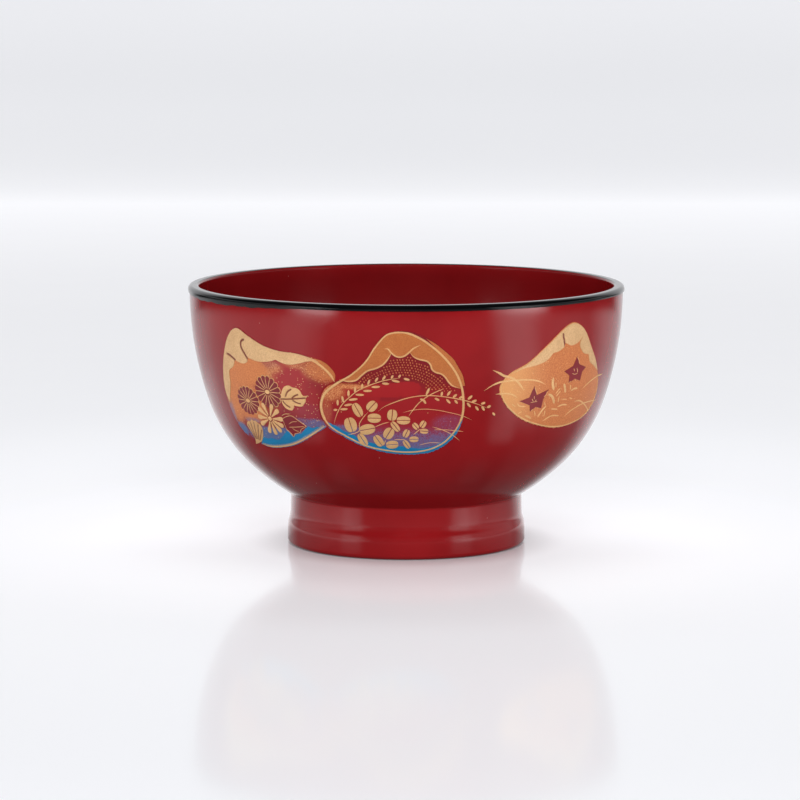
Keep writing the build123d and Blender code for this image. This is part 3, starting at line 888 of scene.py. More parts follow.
def left_shell():
    outline = roughened(cusped(LEFT_OUTLINE, 0.4), 0.12, lambda p: p.y < 37)
    Layer(LEFT).relief(outline, ON_WALL, GROUND_TOP, 0.45).finish(
        "left_shell_powder", SHELL_GROUND, "left_powder", ("left_shell_ground",),
        (("powder", left_powder), ("bright", left_bright)))

    Layer(LEFT).relief(cusped(LEFT_CRESCENT, 0.4), IN_GROUND, GROUND_TOP + 0.03).finish(
        "left_orange_crescent", ORANGE_GOLD, "left_powder")

    blue = roughened(cusped(LEFT_BLUE, 0.3), 0.06, lambda p: True)
    Layer(LEFT).relief(blue, IN_GROUND, GROUND_TOP + 0.03).finish("left_blue_edge", BLUE, "left_powder")

    groove = grooves(LEFT_GROOVES, 0.42)
    cap = cusped(LEFT_CAP, 0.35)
    Layer(LEFT).relief(cap, IN_GROUND, RAISED_TOP, 0.3, dip=lambda p: 0.1 * groove(p)).finish(
        "left_gold_shell_top", PALE_GOLD, "pale_gold", ("left_gold_cap",), (("shade", groove),))

    left_lines()

    veins = grooves(GOLD_LEAF_VEINS, 0.26)
    leaf = cusped(GOLD_LEAF, 0.3)
    Layer(LEFT).relief(leaf, IN_GROUND, RAISED_TOP + 0.02, 0.2, dip=lambda p: 0.1 * veins(p)).finish(
        "left_chrysanthemum_leaf", GOLD, "raised_gold", ("left_gold_leaf",), (("shade", veins),))

    folds = grooves(BUD_LINES, 0.24)
    bud = cusped(BUD, 0.3)
    Layer(LEFT).relief(bud, IN_GROUND, RAISED_TOP, 0.22, dip=lambda p: 0.08 * folds(p)).finish(
        "left_chrysanthemum_bud", GOLD, "raised_gold", ("left_gold_bud",),
        (("shade", lambda p: 0.7 * folds(p) + 0.12),))

    red_leaf = cusped(RED_LEAF, 0.3)
    Layer(LEFT).relief(red_leaf, IN_GROUND, RAISED_TOP - 0.04, 0.4).finish(
        "left_dark_red_leaf", DARK_RED, "dark_red_lacquer", ("left_red_leaf",))

    flower = Layer(LEFT)
    x, z = GOLD_FLOWER
    for angle in GOLD_PETAL_ANGLES:
        flower.pad(club_petal(x, z, 0.85, 4.5, 0.66, angle), IN_GROUND, RAISED_TOP, 0.04)
    flower.pad(oval(x, z, 0.62, 0.62, 0), IN_GROUND, RAISED_TOP + 0.02, 0.05)
    flower.finish("left_gold_flower", GOLD, "raised_gold", ("left_gold_chrysanthemum",))

    pencil = red_flowers()
    pencil.strokes(RED_LEAF_LINES, 0.4, 0.2, IN_RAISED, RAISED_TOP + 0.01)
    pencil.line(red_leaf, 0.16, IN_RAISED, RAISED_TOP, closed=True)
    pencil.finish("left_gold_pencil_lines", GOLD, "raised_gold")


# --- Centre shell: bush clover --------------------------------------------------------------------

CENTRE_OUTLINE = (
    (-1.4, 63.9), (-5.6, 62.9), (-8.3, 59.7), (-11.9, 54.3), (-16.4, 51.4), (-20.9, 48.4),
    (-22.5, 43.6), (-20.6, 38.2), (-14.9, 34.9), (-7.7, 32.1), (1.0, 30.9), (8.2, 32.5),
    (13.1, 37.2), (15.0, 42.0), (15.2, 47.8), (14.4, 52.0), (11.8, 56.7), (7.0, 61.0), (2.0, 63.6),
)
CENTRE_LINE = (
    (-1.5, 63.6), (0.5, 63.3), (2.5, 62.5), (4.9, 61.1), (8.8, 57.8), (12.2, 53.6), (14.0, 49.5),
    (14.6, 45.0), (14.2, 40.9), (12.3, 37.1), (9.5, 34.1), (5.8, 32.3), (1.2, 31.6), (-4.0, 31.9),
    (-10.0, 33.1), (-15.5, 35.7), (-20.2, 38.8), (-22.0, 43.0), (-21.2, 46.8), (-18.3, 49.6),
    (-13.9, 52.5), (-10.5, 55.8), (-8.0, 59.7), (-5.4, 62.7), (-3.6, 63.4),
)
WAVES = (
    ((-17.2, 50.9), (-16.1, 50.7), (-14.5, 50.6), (-12.9, 51.0), (-11.5, 52.3), (-10.0, 53.5),
     (-7.9, 54.2), (-6.1, 55.2), (-4.8, 56.7), (-3.9, 58.2)),
    ((-5.9, 59.3), (-4.8, 59.3), (-4.0, 58.4), (-2.9, 57.5), (-1.7, 57.2), (-0.4, 57.6), (0.7, 58.5),
     (1.8, 59.5), (3.7, 60.4)),
    ((0.8, 58.5), (1.8, 57.3), (3.3, 56.6), (5.2, 56.1), (6.1, 55.2), (6.5, 54.0), (7.4, 53.2),
     (8.9, 52.7), (10.0, 51.7), (10.7, 50.6), (11.8, 49.5), (13.9, 48.7)),
)
CENTRE_CAP = (
    ((13.9, 50.3), (12.1, 53.8), (8.7, 57.9), (4.9, 61.2), (0.5, 63.4), (-1.5, 63.7), (-5.4, 62.8),
     (-8.1, 59.7), (-10.6, 55.8), (-13.9, 52.6), (-17.2, 50.9)),
    ((-14.5, 50.5), (-12.9, 50.9), (-11.5, 52.2), (-10.0, 53.4), (-7.9, 54.1), (-6.1, 55.1),
     (-4.8, 56.6), (-3.9, 58.1)),
    ((-2.9, 57.4), (-1.7, 57.1), (-0.4, 57.5), (0.7, 58.4)),
    ((1.8, 57.2), (3.3, 56.5), (5.2, 56.0), (6.1, 55.1), (6.5, 53.9), (7.4, 53.1), (8.9, 52.6),
     (10.0, 51.6), (10.7, 50.5), (11.8, 49.4), (13.9, 48.6)),
    ((14.1, 49.4), (13.9, 50.3)),
)
CENTRE_STRIP = (
    ((4.9, 62.1), (7.4, 60.6), (9.6, 58.8), (11.8, 56.7), (13.3, 54.3), (14.4, 52.0), (15.0, 49.4)),
    ((14.3, 49.4), (13.2, 52.3), (10.6, 56.2), (6.9, 60.0), (4.9, 62.1)),
)
CENTRE_BLUE = (
    ((-20.3, 39.4), (-18.2, 38.4), (-16.2, 37.2), (-13.8, 36.2), (-12.6, 35.6)),
    ((-9.8, 34.4), (-6.0, 33.4), (-1.0, 33.2), (3.0, 32.6), (7.0, 33.3), (10.5, 35.6), (13.3, 38.6)),
    ((14.4, 40.2), (13.3, 37.2), (12.0, 35.4), (10.2, 33.6), (8.0, 32.2), (5.5, 31.3), (1.2, 30.9),
     (-4.0, 31.2), (-10.0, 32.6), (-15.5, 35.1), (-20.3, 38.4)),
    ((-20.3, 39.4),),
)
# Leaves: x, height, half length, half width, tilt.
CLOVER_LEAVES = (
    (-12.6, 43.0, 2.0, 1.15, 118), (-8.9, 44.1, 1.55, 1.3, 50), (-8.3, 40.9, 1.75, 1.25, 0),
    (-14.4, 38.9, 2.0, 1.6, 107), (-10.1, 37.8, 2.05, 1.4, 12), (-11.3, 34.9, 1.9, 1.0, 122),
    (-3.7, 41.8, 1.5, 1.3, 85), (-0.8, 40.4, 1.75, 1.1, 0), (-2.9, 38.7, 1.6, 0.8, 128),
    (-4.6, 36.8, 1.6, 1.35, 60), (-7.2, 34.7, 1.7, 1.1, 124), (-3.7, 33.7, 1.6, 1.1, 5),
    (-0.1, 36.8, 1.15, 0.85, 65), (1.9, 35.2, 1.2, 0.8, 0), (0.0, 33.8, 1.3, 0.7, 125),
    (2.3, 38.8, 1.0, 0.7, 130), (4.2, 39.3, 1.0, 0.8, 60), (4.5, 37.4, 1.1, 0.7, -5),
)
CLOVER_STALKS = (
    ((-15.1, 36.1), (-12.3, 37.2), (-12.1, 39.3), (-11.2, 40.9), (-10.0, 42.4)),
    ((-8.3, 38.4), (-6.4, 39.3), (-4.5, 39.9)), ((-3.2, 35.1), (-0.4, 35.1)),
    ((1.8, 36.5), (3.6, 38.1)), ((-5.9, 33.5), (-5.4, 34.9)),
)
SPRAY_STEMS = (
    ((-18.7, 39.0), (-18.2, 40.9), (-17.3, 43.1), (-16.1, 44.9), (-14.5, 46.5), (-12.6, 48.1),
     (-10.4, 49.3), (-8.2, 50.2), (-5.8, 51.0), (-3.2, 51.5), (-1.7, 51.7)),
    ((-7.2, 42.8), (-5.8, 44.0), (-3.2, 45.2), (-0.1, 46.3), (3.0, 46.9), (6.1, 47.0), (9.2, 46.7),
     (12.4, 46.1), (15.5, 45.3), (18.3, 44.3), (20.8, 43.1)),
    ((0.5, 41.5), (1.8, 43.4), (3.3, 45.2), (5.2, 46.7), (7.4, 47.9), (9.6, 48.8)),
)
GRASS_LINES = (
    ((-1.7, 42.2), (1.4, 43.1), (4.6, 43.4), (7.7, 43.1), (10.8, 42.4), (13.9, 41.5), (16.8, 40.1)),
    ((6.3, 38.6), (8.9, 37.8), (11.4, 36.5), (13.6, 34.6)), ((6.8, 37.8), (10.8, 37.6), (14.6, 37.0)),
    ((3.0, 33.5), (6.1, 34.2), (9.2, 34.0)),
)
# Leaflets of the sprays: x, height, tilt, half length.
SPRAY_LEAFLETS = (
    (-17.7, 44.8, 92, 0.75), (-16.4, 45.8, 100, 0.8), (-14.9, 47.4, 90, 0.85), (-13.2, 48.4, 88, 0.8),
    (-11.4, 49.3, 84, 0.75), (-9.7, 50.5, 70, 0.7), (-7.7, 51.2, 58, 0.65), (-5.8, 51.7, 52, 0.65),
    (-3.7, 52.0, 60, 0.5), (-1.8, 52.2, 55, 0.45), (-18.3, 42.8, 5, 0.5), (-16.1, 43.1, 5, 0.95),
    (-15.0, 44.3, 12, 1.0), (-13.7, 45.8, 8, 1.1), (-12.0, 47.1, 0, 1.05), (-10.0, 48.2, 2, 1.05),
    (-7.9, 49.3, 4, 1.05), (-5.4, 50.2, -4, 0.9), (-2.8, 50.9, -12, 1.0), (0.0, 51.4, -15, 0.75),
    (7.8, 46.0, -28, 0.65), (9.0, 47.4, 78, 0.6), (10.8, 47.5, 55, 0.7), (10.7, 45.4, -48, 0.75),
    (12.4, 46.8, 40, 0.65), (12.7, 45.2, -50, 0.6), (14.0, 46.4, 30, 0.6), (16.3, 46.2, 42, 0.7),
    (16.0, 44.2, -52, 0.7), (17.4, 45.2, 20, 0.65), (18.1, 43.2, -55, 0.65), (19.7, 44.5, 20, 0.55),
    (19.7, 43.1, -62, 0.65), (21.2, 43.5, 28, 0.5), (22.5, 41.4, -55, 0.45), (5.4, 48.1, 66, 1.0),
    (4.1, 45.9, -20, 0.7), (4.6, 45.4, -58, 0.65),
)
# Where the rows of dots may lie, and the rows: how many, the first one's radius, and the distances
# from row to row and from dot to dot.
DOTTED = [Vector(point) for point in (
    (-13.0, 50.2), (-11.2, 51.4), (-9.7, 52.8), (-7.5, 53.5), (-5.6, 54.6), (-4.2, 56.4), (-3.2, 57.0),
    (-0.8, 56.8), (0.9, 57.4), (2.9, 56.0), (5.0, 55.4), (6.0, 53.4), (7.2, 52.5), (8.8, 51.9),
    (10.4, 49.7), (12.6, 48.2), (13.6, 47.6), (11.0, 48.0), (8.0, 48.2), (5.0, 49.0), (4.2, 50.6),
    (2.0, 51.4), (-2.0, 52.6), (-6.0, 52.2), (-9.0, 50.9), (-11.5, 49.8),
)]
DOT_ROWS = 12
FIRST_ROW = 6.6
ROW_STEP = 0.66
DOT_STEP = 0.62
DOT_MIDDLE = (-1.0, 44.6)
DOT_STRETCH = 1.25            # a row is this much wider than high
# The cloud of bright red in the ground, and the dimmer patch below it.
CLOUD = [Vector(point) for point in (
    (-22.5, 49.2), (-14.0, 49.6), (-8.0, 50.0), (-3.0, 50.5), (1.5, 50.7), (3.1, 50.3), (3.6, 49.3),
    (3.4, 48.0), (2.4, 47.1), (-2.0, 46.9), (-2.2, 46.4), (-22.5, 46.4),
)]
CLOUD_SHADE = [Vector(point) for point in (
    (-6.6, 46.5), (-1.5, 46.7), (-0.6, 46.3), (-2.0, 45.6), (-6.2, 45.3), (-7.0, 45.9),
)]


def centre_powder(point):
    orange = blobs(point, ((-19.5, 47.5, 3.6, 2.4, 0.45), (-15, 49.3, 5, 0.8, 0.5),
                           (-20.8, 42.5, 1.6, 4, 0.25)))
    gold = blobs(point, ((-19, 45, 3.5, 4, 0.12), (9, 40.5, 4, 2.5, 0.06)))
    blue = max(0.62 * fade(point.y, 40.5, 34.5), 0.85 * fade(point.y, 35.0, 32.6),
               blobs(point, ((-16, 37.4, 5, 1.4, 0.6), (11, 39.3, 4.5, 2.4, 0.28), (-20, 41.5, 2, 2, 0.06))))
    return orange, gold, blue


def centre_bright(point):
    if inside(point, CLOUD):
        return 1.0
    if inside(point, CLOUD_SHADE):
        return 0.3
    return 0.75 * fade(point.y, 51.5, 46.0)


def centre_line_width(point):
    """The gold outline is thin at the foot, wide at the upper left and widest at the upper right."""
    if point.y < 40:
        return 0.44
    if point.x >= 0:
        return 0.64
    return 0.46 + 0.26 * fade(point.x, -12.0, -20.0)


def centre_dots():
    """Rows of small orange dots that follow the shell's growth lines."""
    dots = Layer(CENTRE)
    for row in range(DOT_ROWS):
        radius = FIRST_ROW + row * ROW_STEP
        for index in range(round(math.pi * radius / DOT_STEP)):
            turned = 180 * index * DOT_STEP / (math.pi * radius)
            angle = math.radians(turned) + chance.uniform(-0.01, 0.01)
            spot = Vector((DOT_MIDDLE[0] + radius * DOT_STRETCH * math.cos(angle),
                           DOT_MIDDLE[1] + radius * math.sin(angle)))
            if inside(spot, DOTTED):
                size = chance.uniform(0.13, 0.2)
                dot = oval(spot.x, spot.y, size * 1.3, size, chance.uniform(100, 140), 8)
                dots.pad(dot, IN_RAISED, GROUND_TOP + 0.06, 0.03, 0.03)
    dots.finish("centre_gold_dots", ORANGE_GOLD, "centre_powder")


def centre_shell():
    outline = roughened(spline(CENTRE_OUTLINE, 0.35, True), 0.14, lambda p: p.y < 36)
    Layer(CENTRE).relief(outline, ON_WALL, GROUND_TOP + 0.01, 0.4).finish(
        "centre_shell_powder", SHELL_GROUND, "centre_powder", ("centre_shell_ground",),
        (("powder", centre_powder), ("bright", centre_bright)))

    cap = Layer(CENTRE)
    cap.relief(cusped(CENTRE_CAP, 0.35), IN_GROUND, GROUND_TOP + 0.06, 0.5)
    cap.relief(cusped(CENTRE_STRIP, 0.35), IN_GROUND, GROUND_TOP + 0.05, 0.5)
    cap.finish("centre_orange_shell_top", ORANGE_GOLD, "centre_powder")

    blue = roughened(cusped(CENTRE_BLUE, 0.3), 0.1, lambda p: True)
    Layer(CENTRE).relief(blue, IN_GROUND, GROUND_TOP + 0.03).finish("centre_blue_edge", BLUE, "centre_powder")

    edge = Layer(CENTRE)
    edge.line(spline(CENTRE_LINE, 0.4, True), 0.5, IN_GROUND, LINE_TOP + 0.02, closed=True,
              widths=centre_line_width)
    edge.finish("centre_gold_outline", GOLD, "raised_gold", ("centre_gold_edge_line",))

    waves = Layer(CENTRE)
    waves.strokes(WAVES, 0.3, 0.48, IN_RAISED, LINE_TOP)
    waves.finish("centre_gold_waves", GOLD, "raised_gold", ("centre_gold_wave_line",))

    leaves = Layer(CENTRE)
    for x, z, long, wide, tilt in CLOVER_LEAVES:
        for side in (-1, 1):
            leaves.pad(half_leaf(x, z, long, wide, tilt, side, 0.2), IN_GROUND, RAISED_TOP, 0.04, 0.04)
    leaves.finish("centre_clover_leaves", GOLD, "raised_gold", ("centre_bush_clover_leaves",))

    stems = Layer(CENTRE)
    stems.strokes(SPRAY_STEMS, 0.4, 0.26, IN_RAISED, RAISED_TOP)
    stems.strokes(CLOVER_STALKS, 0.4, 0.24, IN_RAISED, RAISED_TOP - 0.01)
    for x, z, tilt, long in SPRAY_LEAFLETS:
        stems.pad(oval(x, z, long * 1.1, 0.31, tilt, 12), ON_WALL, RAISED_TOP, 0.03)
    stems.strokes(GRASS_LINES, 0.4, 0.2, ON_WALL, RAISED_TOP - 0.04)
    stems.finish("centre_clover_sprays", GOLD, "raised_gold", ("centre_bush_clover_stems",))

    centre_dots()


# --- Right shell: bellflowers ---------------------------------------------------------------------

RIGHT_OUTLINE = (
    (2.6, 64.1), (-1.1, 63.1), (-6.8, 59.1), (-12.7, 54.6), (-18.0, 51.8), (-19.9, 48.4),
    (-17.8, 44.4), (-12.4, 39.9), (-4.9, 37.1), (2.6, 35.8), (10.1, 36.6), (16.7, 39.0),
    (19.2, 43.8), (17.0, 49.3), (11.1, 57.1), (7.0, 62.0),
)
RIGHT_CAP = (
    ((-17.6, 51.8), (-15.4, 53.0), (-12.7, 54.4), (-6.8, 58.9), (-1.1, 62.9), (2.6, 63.9),
     (6.9, 61.9), (11.0, 56.9), (14.3, 53.1), (16.7, 49.8)),
    ((15.0, 50.7), (13.1, 51.8), (11.2, 52.8), (10.1, 54.9)),
    ((7.6, 55.5), (5.7, 57.3), (5.4, 58.4), (6.5, 60.2)),
    ((5.2, 59.0), (4.0, 58.4), (1.8, 58.0), (-0.6, 58.9)),
    ((-0.9, 58.0), (-1.9, 57.3), (-3.2, 56.8), (-4.8, 56.6)),
    ((-6.4, 55.0), (-9.2, 53.9), (-13.9, 53.1), (-17.6, 51.8)),
)
RIGHT_GROOVE = ((-1.8, 61.3), (-1.4, 60.1), (-0.8, 58.3))
RIGHT_LINE = (
    (-18.6, 51.2), (-19.5, 48.6), (-18.6, 45.9), (-16.4, 43.1), (-13.0, 40.6), (-9.6, 38.9), (-6.0, 37.7),
    (-2.4, 36.8), (1.5, 36.2), (5.4, 36.1), (9.5, 36.5), (13.5, 37.4), (16.6, 38.9), (18.4, 41.0),
    (18.9, 43.8), (18.3, 46.8), (16.7, 49.6),
)
BELLFLOWERS = (
    ((-9.6, 48.2), (-8.3, 45.7), (-4.4, 46.9), (-5.7, 44.3), (-5.7, 41.9), (-7.8, 42.4),
     (-9.3, 41.3), (-9.9, 43.0), (-13.5, 44.4), (-10.6, 45.2)),
    ((4.9, 55.0), (6.5, 52.6), (9.7, 51.6), (8.2, 50.4), (7.9, 48.0), (5.3, 48.8),
     (2.9, 47.9), (2.7, 49.9), (0.2, 51.3), (3.6, 52.4)),
)
STAMENS = (
    ((-9.1, 45.6), (-8.8, 44.5)), ((-9.7, 44.9), (-8.9, 43.9)), ((-8.1, 44.6), (-8.4, 43.9)),
    ((-10.0, 43.8), (-8.7, 43.9), (-7.5, 44.0)), ((4.0, 51.8), (4.7, 50.8)),
    ((5.3, 51.8), (5.9, 50.9), (5.8, 50.2)), ((3.5, 50.6), (4.7, 50.1), (6.1, 50.3)),
)
FLOWER_TRIMS = (
    ((-9.5, 48.0), (-8.9, 46.9), (-8.2, 46.0)), ((-4.8, 46.6), (-5.2, 45.4), (-5.8, 44.9)),
    ((4.6, 54.9), (5.6, 54.0), (6.3, 52.6)), ((-8.4, 42.0), (-9.2, 41.4)), ((2.9, 48.1), (3.9, 48.3)),
    ((5.3, 48.9), (5.9, 48.2)),
)
# Blades: their widest width, then the points.
BLADES = (
    (0.42, ((-23.9, 47.8), (-21.8, 49.2), (-19.9, 49.9), (-17.9, 50.1), (-13.3, 50.1), (-9.2, 49.6),
            (-5.6, 48.2))),
    (0.5, ((-22.5, 53.2), (-20.8, 52.4), (-19.2, 51.5), (-17.2, 50.9), (-15.0, 49.6), (-12.5, 47.0))),
    (0.36, ((-20.6, 46.7), (-18.0, 46.8), (-15.8, 46.3), (-14.0, 45.2))),
    (0.34, ((9.7, 45.5), (13.2, 47.2), (17.0, 48.2), (20.8, 48.4))),
    (0.38, ((7.0, 42.4), (9.8, 42.4), (13.2, 41.0), (17.6, 38.3))),
    (0.32, ((3.6, 38.2), (7.0, 40.1), (11.7, 41.3), (16.4, 41.5), (21.0, 41.2))),
    (0.36, ((-4.2, 38.2), (-1.1, 39.4), (2.3, 39.1))),
    (0.85, ((-3.5, 50.1), (-3.3, 48.2), (-2.4, 46.4))), (0.3, ((-2.2, 48.6), (-1.9, 47.1))),
    (0.7, ((-4.3, 45.7), (-2.4, 44.6), (-1.1, 42.6))), (0.7, ((0.9, 48.0), (1.8, 46.8), (2.4, 45.2))),
    (0.4, ((3.9, 47.4), (4.4, 45.9))), (0.5, ((4.5, 45.6), (6.0, 46.1), (7.6, 46.0))),
    (0.3, ((-1.6, 45.3), (-0.8, 46.2), (0.1, 46.9))), (0.35, ((-1.2, 44.6), (0.3, 46.1))),
    (0.32, ((0.1, 44.7), (0.2, 42.9))), (0.28, ((1.5, 43.7), (3.8, 43.4))),
    (0.28, ((4.6, 43.8), (6.2, 43.3))),
    (0.36, ((-2.0, 41.4), (-0.6, 41.2), (0.8, 41.0))), (0.4, ((0.3, 41.7), (2.4, 42.1), (4.5, 41.8))),
    (0.5, ((-6.2, 39.4), (-5.2, 41.2), (-4.0, 42.5))), (0.3, ((-4.1, 41.3), (-3.9, 39.5))),
    (0.3, ((-7.8, 41.4), (-7.1, 39.9))), (0.5, ((-10.6, 40.4), (-9.4, 39.9), (-8.2, 39.3))),
    (0.3, ((-5.0, 43.5), (-4.4, 42.4))), (0.34, ((-14.0, 44.1), (-13.1, 43.1), (-10.9, 42.8))),
    (0.26, ((-13.0, 41.0), (-11.8, 41.6))), (0.26, ((-15.5, 43.8), (-14.2, 43.0))),
)


# Orange powder all over and a few gold flakes, with more gold flakes towards the shell's left side as a
# painted highlight.
def right_powder(point):
    gold = 0.03 + blobs(point, ((-17, 50, 8, 6, 0.16), (-8, 52, 10, 4, 0.1), (-12, 44, 8, 5, 0.08)))
    return 0.93, gold, 0.0


# The ground's own tone, paler towards the shell's left side as a painted highlight, and a little paler at the
# far right.
def right_tone_and_painted_highlight(point):
    return 0.28 + 0.52 * fade(point.x, 0.0, -20.0) + 0.08 * fade(point.x, 8.0, 18.0)


def right_shell():
    outline = roughened(spline(RIGHT_OUTLINE, 0.35, True), 0.16, lambda p: p.y < 47)
    Layer(RIGHT).relief(outline, ON_WALL, GROUND_TOP, 0.6).finish(
        "right_shell_powder", SHELL_GROUND, "right_powder", ("right_shell_ground",),
        (("powder", right_powder), ("bright", right_tone_and_painted_highlight)))

    groove = grooves((RIGHT_GROOVE,), 0.4)
    cap = cusped(RIGHT_CAP, 0.35)
    Layer(RIGHT).relief(cap, IN_GROUND, RAISED_TOP, 0.3, dip=lambda p: 0.1 * groove(p)).finish(
        "right_gold_shell_top", PALE_GOLD, "pale_gold", ("right_gold_cap",), (("shade", groove),))

    edge = Layer(RIGHT)
    edge.line(spline(RIGHT_LINE, 0.4), 0.42, IN_GROUND, LINE_TOP)
    edge.finish("right_gold_outline", GOLD, "raised_gold", ("right_gold_edge_line",))

    flowers = Layer(RIGHT)
    for star in BELLFLOWERS:
        outline = []
        for a, b in zip(star, star[1:] + star[:1]):
            outline += [Vector(a).lerp(Vector(b), share) for share in (0.0, 0.33, 0.67)]
        flowers.relief(outline, IN_GROUND, RAISED_TOP - 0.04, 0.4)
    flowers.finish("right_dark_red_bellflowers", DARK_RED, "dark_red_lacquer", ("right_bellflowers",))

    blades = Layer(RIGHT)
    for width, points in BLADES:
        blades.line(spline(points, 0.3), width * 1.25, ON_WALL, RAISED_TOP - 0.02, (0.1, 0.1))
    blades.strokes(STAMENS + FLOWER_TRIMS, 0.3, 0.24, IN_RAISED, RAISED_TOP + 0.01)
    blades.finish("right_gold_blades", GOLD, "pale_gold", ("right_grass_blades",))


left_shell()
centre_shell()
right_shell()

# --- Studio ---------------------------------------------------------------------------------------

# Stretches of brightness round the bowl: the azimuths where each begins, is full, begins to fade and
# is gone, and its strength. 0 is towards the camera, and positive is to the right.
SKY_PANELS = ((40.0, 48.0, 62.0, 72.0, 1.2), (56.0, 70.0, 120.0, 140.0, 0.52))          # both sides alike
CARD_FAR = ((-140.0, -118.0, -48.0, -32.0, 0.68), (-76.0, -62.0, -52.0, -38.0, 0.92),
            (36.0, 52.0, 60.0, 78.0, 1.4), (55.0, 68.0, 85.0, 130.0, 0.55))
CARD_STRIPS = ((-60.0, -51.0, -43.0, -35.0, 0.5), (35.0, 43.0, 49.0, 58.0, 0.66))
CARD_STREAKS = ((-66.0, -46.0, -42.0, -32.0, 10.0), (38.0, 60.0, 68.0, 80.0, 9.0))
# Lamps: name, azimuth, distance from the axis, width, height, height of the middle, and watts.
LAMPS = (
    ("left_light", -50.0, 1.0, 0.5, 0.12, 0.05, 4.5), ("right_light", 50.0, 1.0, 0.5, 0.12, 0.05, 4.5),
    ("front_light", 0.0, 0.95, 0.5, 0.3, 0.55, 4.5), ("top_light", 0.0, 0.05, 0.6, 0.6, 1.0, 3.2),
)
LAMP_TARGET = Vector((0.0, 0.0, 0.04))
STUDIO_WHITE = srgb(252, 252, 255)
CAMERA_PLACE = (-0.0017, -1.0, 0.169)
CAMERA_DIP = 7.43             # degrees below level
CAMERA_SENSOR = 36.0
CAMERA_LENS = 167.0


class Surroundings(Shader):
    """Brightness that depends on the direction round the bowl, for a sky or a card."""

    def __init__(self, tree, direction):
        self.tree = tree
        x, y, z = self.parts(direction)
        self.height = z
        self.azimuth = self.math("DEGREES", self.math("ARCTAN2", x, self.math("MULTIPLY", y, -1.0)))
        self.turn_away = self.math("ABSOLUTE", self.azimuth)

    def between(self, value, low_out, low_in, high_in, high_out, strength):
        """Strength between the inner two values, and nothing outside the outer two."""
        up = self.ramp(value, low_out, low_in, 0.0, strength)
        down = self.ramp(value, high_in, high_out, 1.0, 0.0)
        return self.math("MULTIPLY", up, down)

    def brightest(self, values):
        result = values[0]
        for value in values[1:]:
            result = self.math("MAXIMUM", result, value)
        return result

    def stretches(self, value, table):
        return [self.between(value, *stretch) for stretch in table]


def light_sky():
    """White behind, bright low panels at both sides, dark round the camera and overhead."""
    world = bpy.data.worlds.new("studio")
    bpy.context.scene.world = world
    world.use_nodes = True
    tree = world.node_tree
    place = tree.nodes.new("ShaderNodeTexCoord").outputs["Generated"]
    sky = Surroundings(tree, place)
    back = sky.math("MULTIPLY", sky.ramp(sky.turn_away, 118.0, 150.0, 0.0, 0.88),
                    sky.ramp(sky.height, 0.62, 0.78, 1.0, 0.12))
    front = sky.ramp(sky.turn_away, 40.0, 60.0, 0.12, 0.0)
    panels = sky.brightest([*sky.stretches(sky.turn_away, SKY_PANELS), front])
    panels = sky.math("MULTIPLY", panels, sky.ramp(sky.height, 0.2, 0.32, 1.0, 0.0))
    roof = sky.ramp(sky.height, 0.5, 0.9, 0.03, 0.05)
    light = tree.nodes["Background"]
    sky.put(sky.brightest([back, panels, roof]), light.inputs["Strength"])
    sky.put(STUDIO_WHITE, light.inputs["Color"])


def glow_card():
    """What the lacquer mirrors from below: a card under the floor, unseen by the camera."""
    half = 6.0
    corners = [(-half, -half), (half, -half), (half, half), (-half, half)]
    card = new_object("floor_glow", [(x, y, -0.001) for x, y in corners], [(0, 1, 2, 3)])
    shader = Shader("floor_glow")
    glow = Surroundings(shader.tree, shader.place)
    reach = glow.length(shader.place)
    back = glow.ramp(glow.turn_away, 132.0, 152.0, 0.0, 0.88)
    sides = glow.ramp(glow.turn_away, 92.0, 126.0, 0.0, 0.78)
    far = glow.brightest([*glow.stretches(glow.azimuth, CARD_FAR), sides])
    strips = glow.brightest(glow.stretches(glow.azimuth, CARD_STRIPS))
    strips = glow.math("MULTIPLY", strips, glow.ramp(reach, 0.062, 0.08))
    inner = glow.math("MULTIPLY", glow.between(glow.turn_away, 20.0, 34.0, 38.0, 56.0, 0.14),
                      glow.between(reach, 0.033, 0.04, 0.05, 0.07, 1.0))
    near = glow.brightest([glow.between(glow.turn_away, 40.0, 60.0, 125.0, 140.0, 0.14), strips, inner,
                           glow.math("MULTIPLY", sides, 0.7),
                           glow.ramp(glow.turn_away, 110.0, 134.0, 0.0, 0.88)])
    spread = glow.ramp(reach, 0.07, 0.13)
    level = glow.math("ADD", glow.math("MULTIPLY", far, spread),
                      glow.math("MULTIPLY", near, glow.math("SUBTRACT", 1.0, spread)))
    level = glow.brightest([level, glow.ramp(reach, 0.07, 0.18, 0.08, 0.24)])
    level = glow.brightest([glow.math("MULTIPLY", level, glow.ramp(reach, 0.5, 0.57, 1.0, 0.02)), back])
    streaks = glow.brightest(glow.stretches(glow.azimuth, CARD_STREAKS))
    streaks = glow.math("MULTIPLY", streaks, glow.between(reach, 0.6, 0.64, 0.85, 1.0, 1.0))
    level = glow.brightest([level, streaks])
    glow.put(level, shader.surface.inputs["Emission Strength"])
    glow.put(STUDIO_WHITE, shader.surface.inputs["Emission Color"])
    shader.surface.inputs["Base Color"].default_value = (0.0, 0.0, 0.0, 1.0)
    glow.put(glow.ramp(reach, 0.14, 0.24, 0.5, 0.0), shader.surface.inputs["Specular IOR Level"])
    shader.surface.inputs["Roughness"].default_value = 0.12
    card.data.materials.append(shader.material)
    card.visible_camera = False
    card.visible_shadow = False


def softbox(name, azimuth, distance, width, height, middle, power):
    """A soft light that only lights pigment. What the gloss mirrors is on the sky and the card."""
    data = bpy.data.lights.new(name, "AREA")
    data.shape = "RECTANGLE"
    data.size = width
    data.size_y = height
    data.energy = power
    light = bpy.data.objects.new(name, data)
    angle = math.radians(azimuth)
    light.location = (distance * math.sin(angle), -distance * math.cos(angle), middle)
    light.rotation_euler = (LAMP_TARGET - light.location).to_track_quat("-Z", "Y").to_euler()
    light.visible_glossy = False
    bpy.context.collection.objects.link(light)


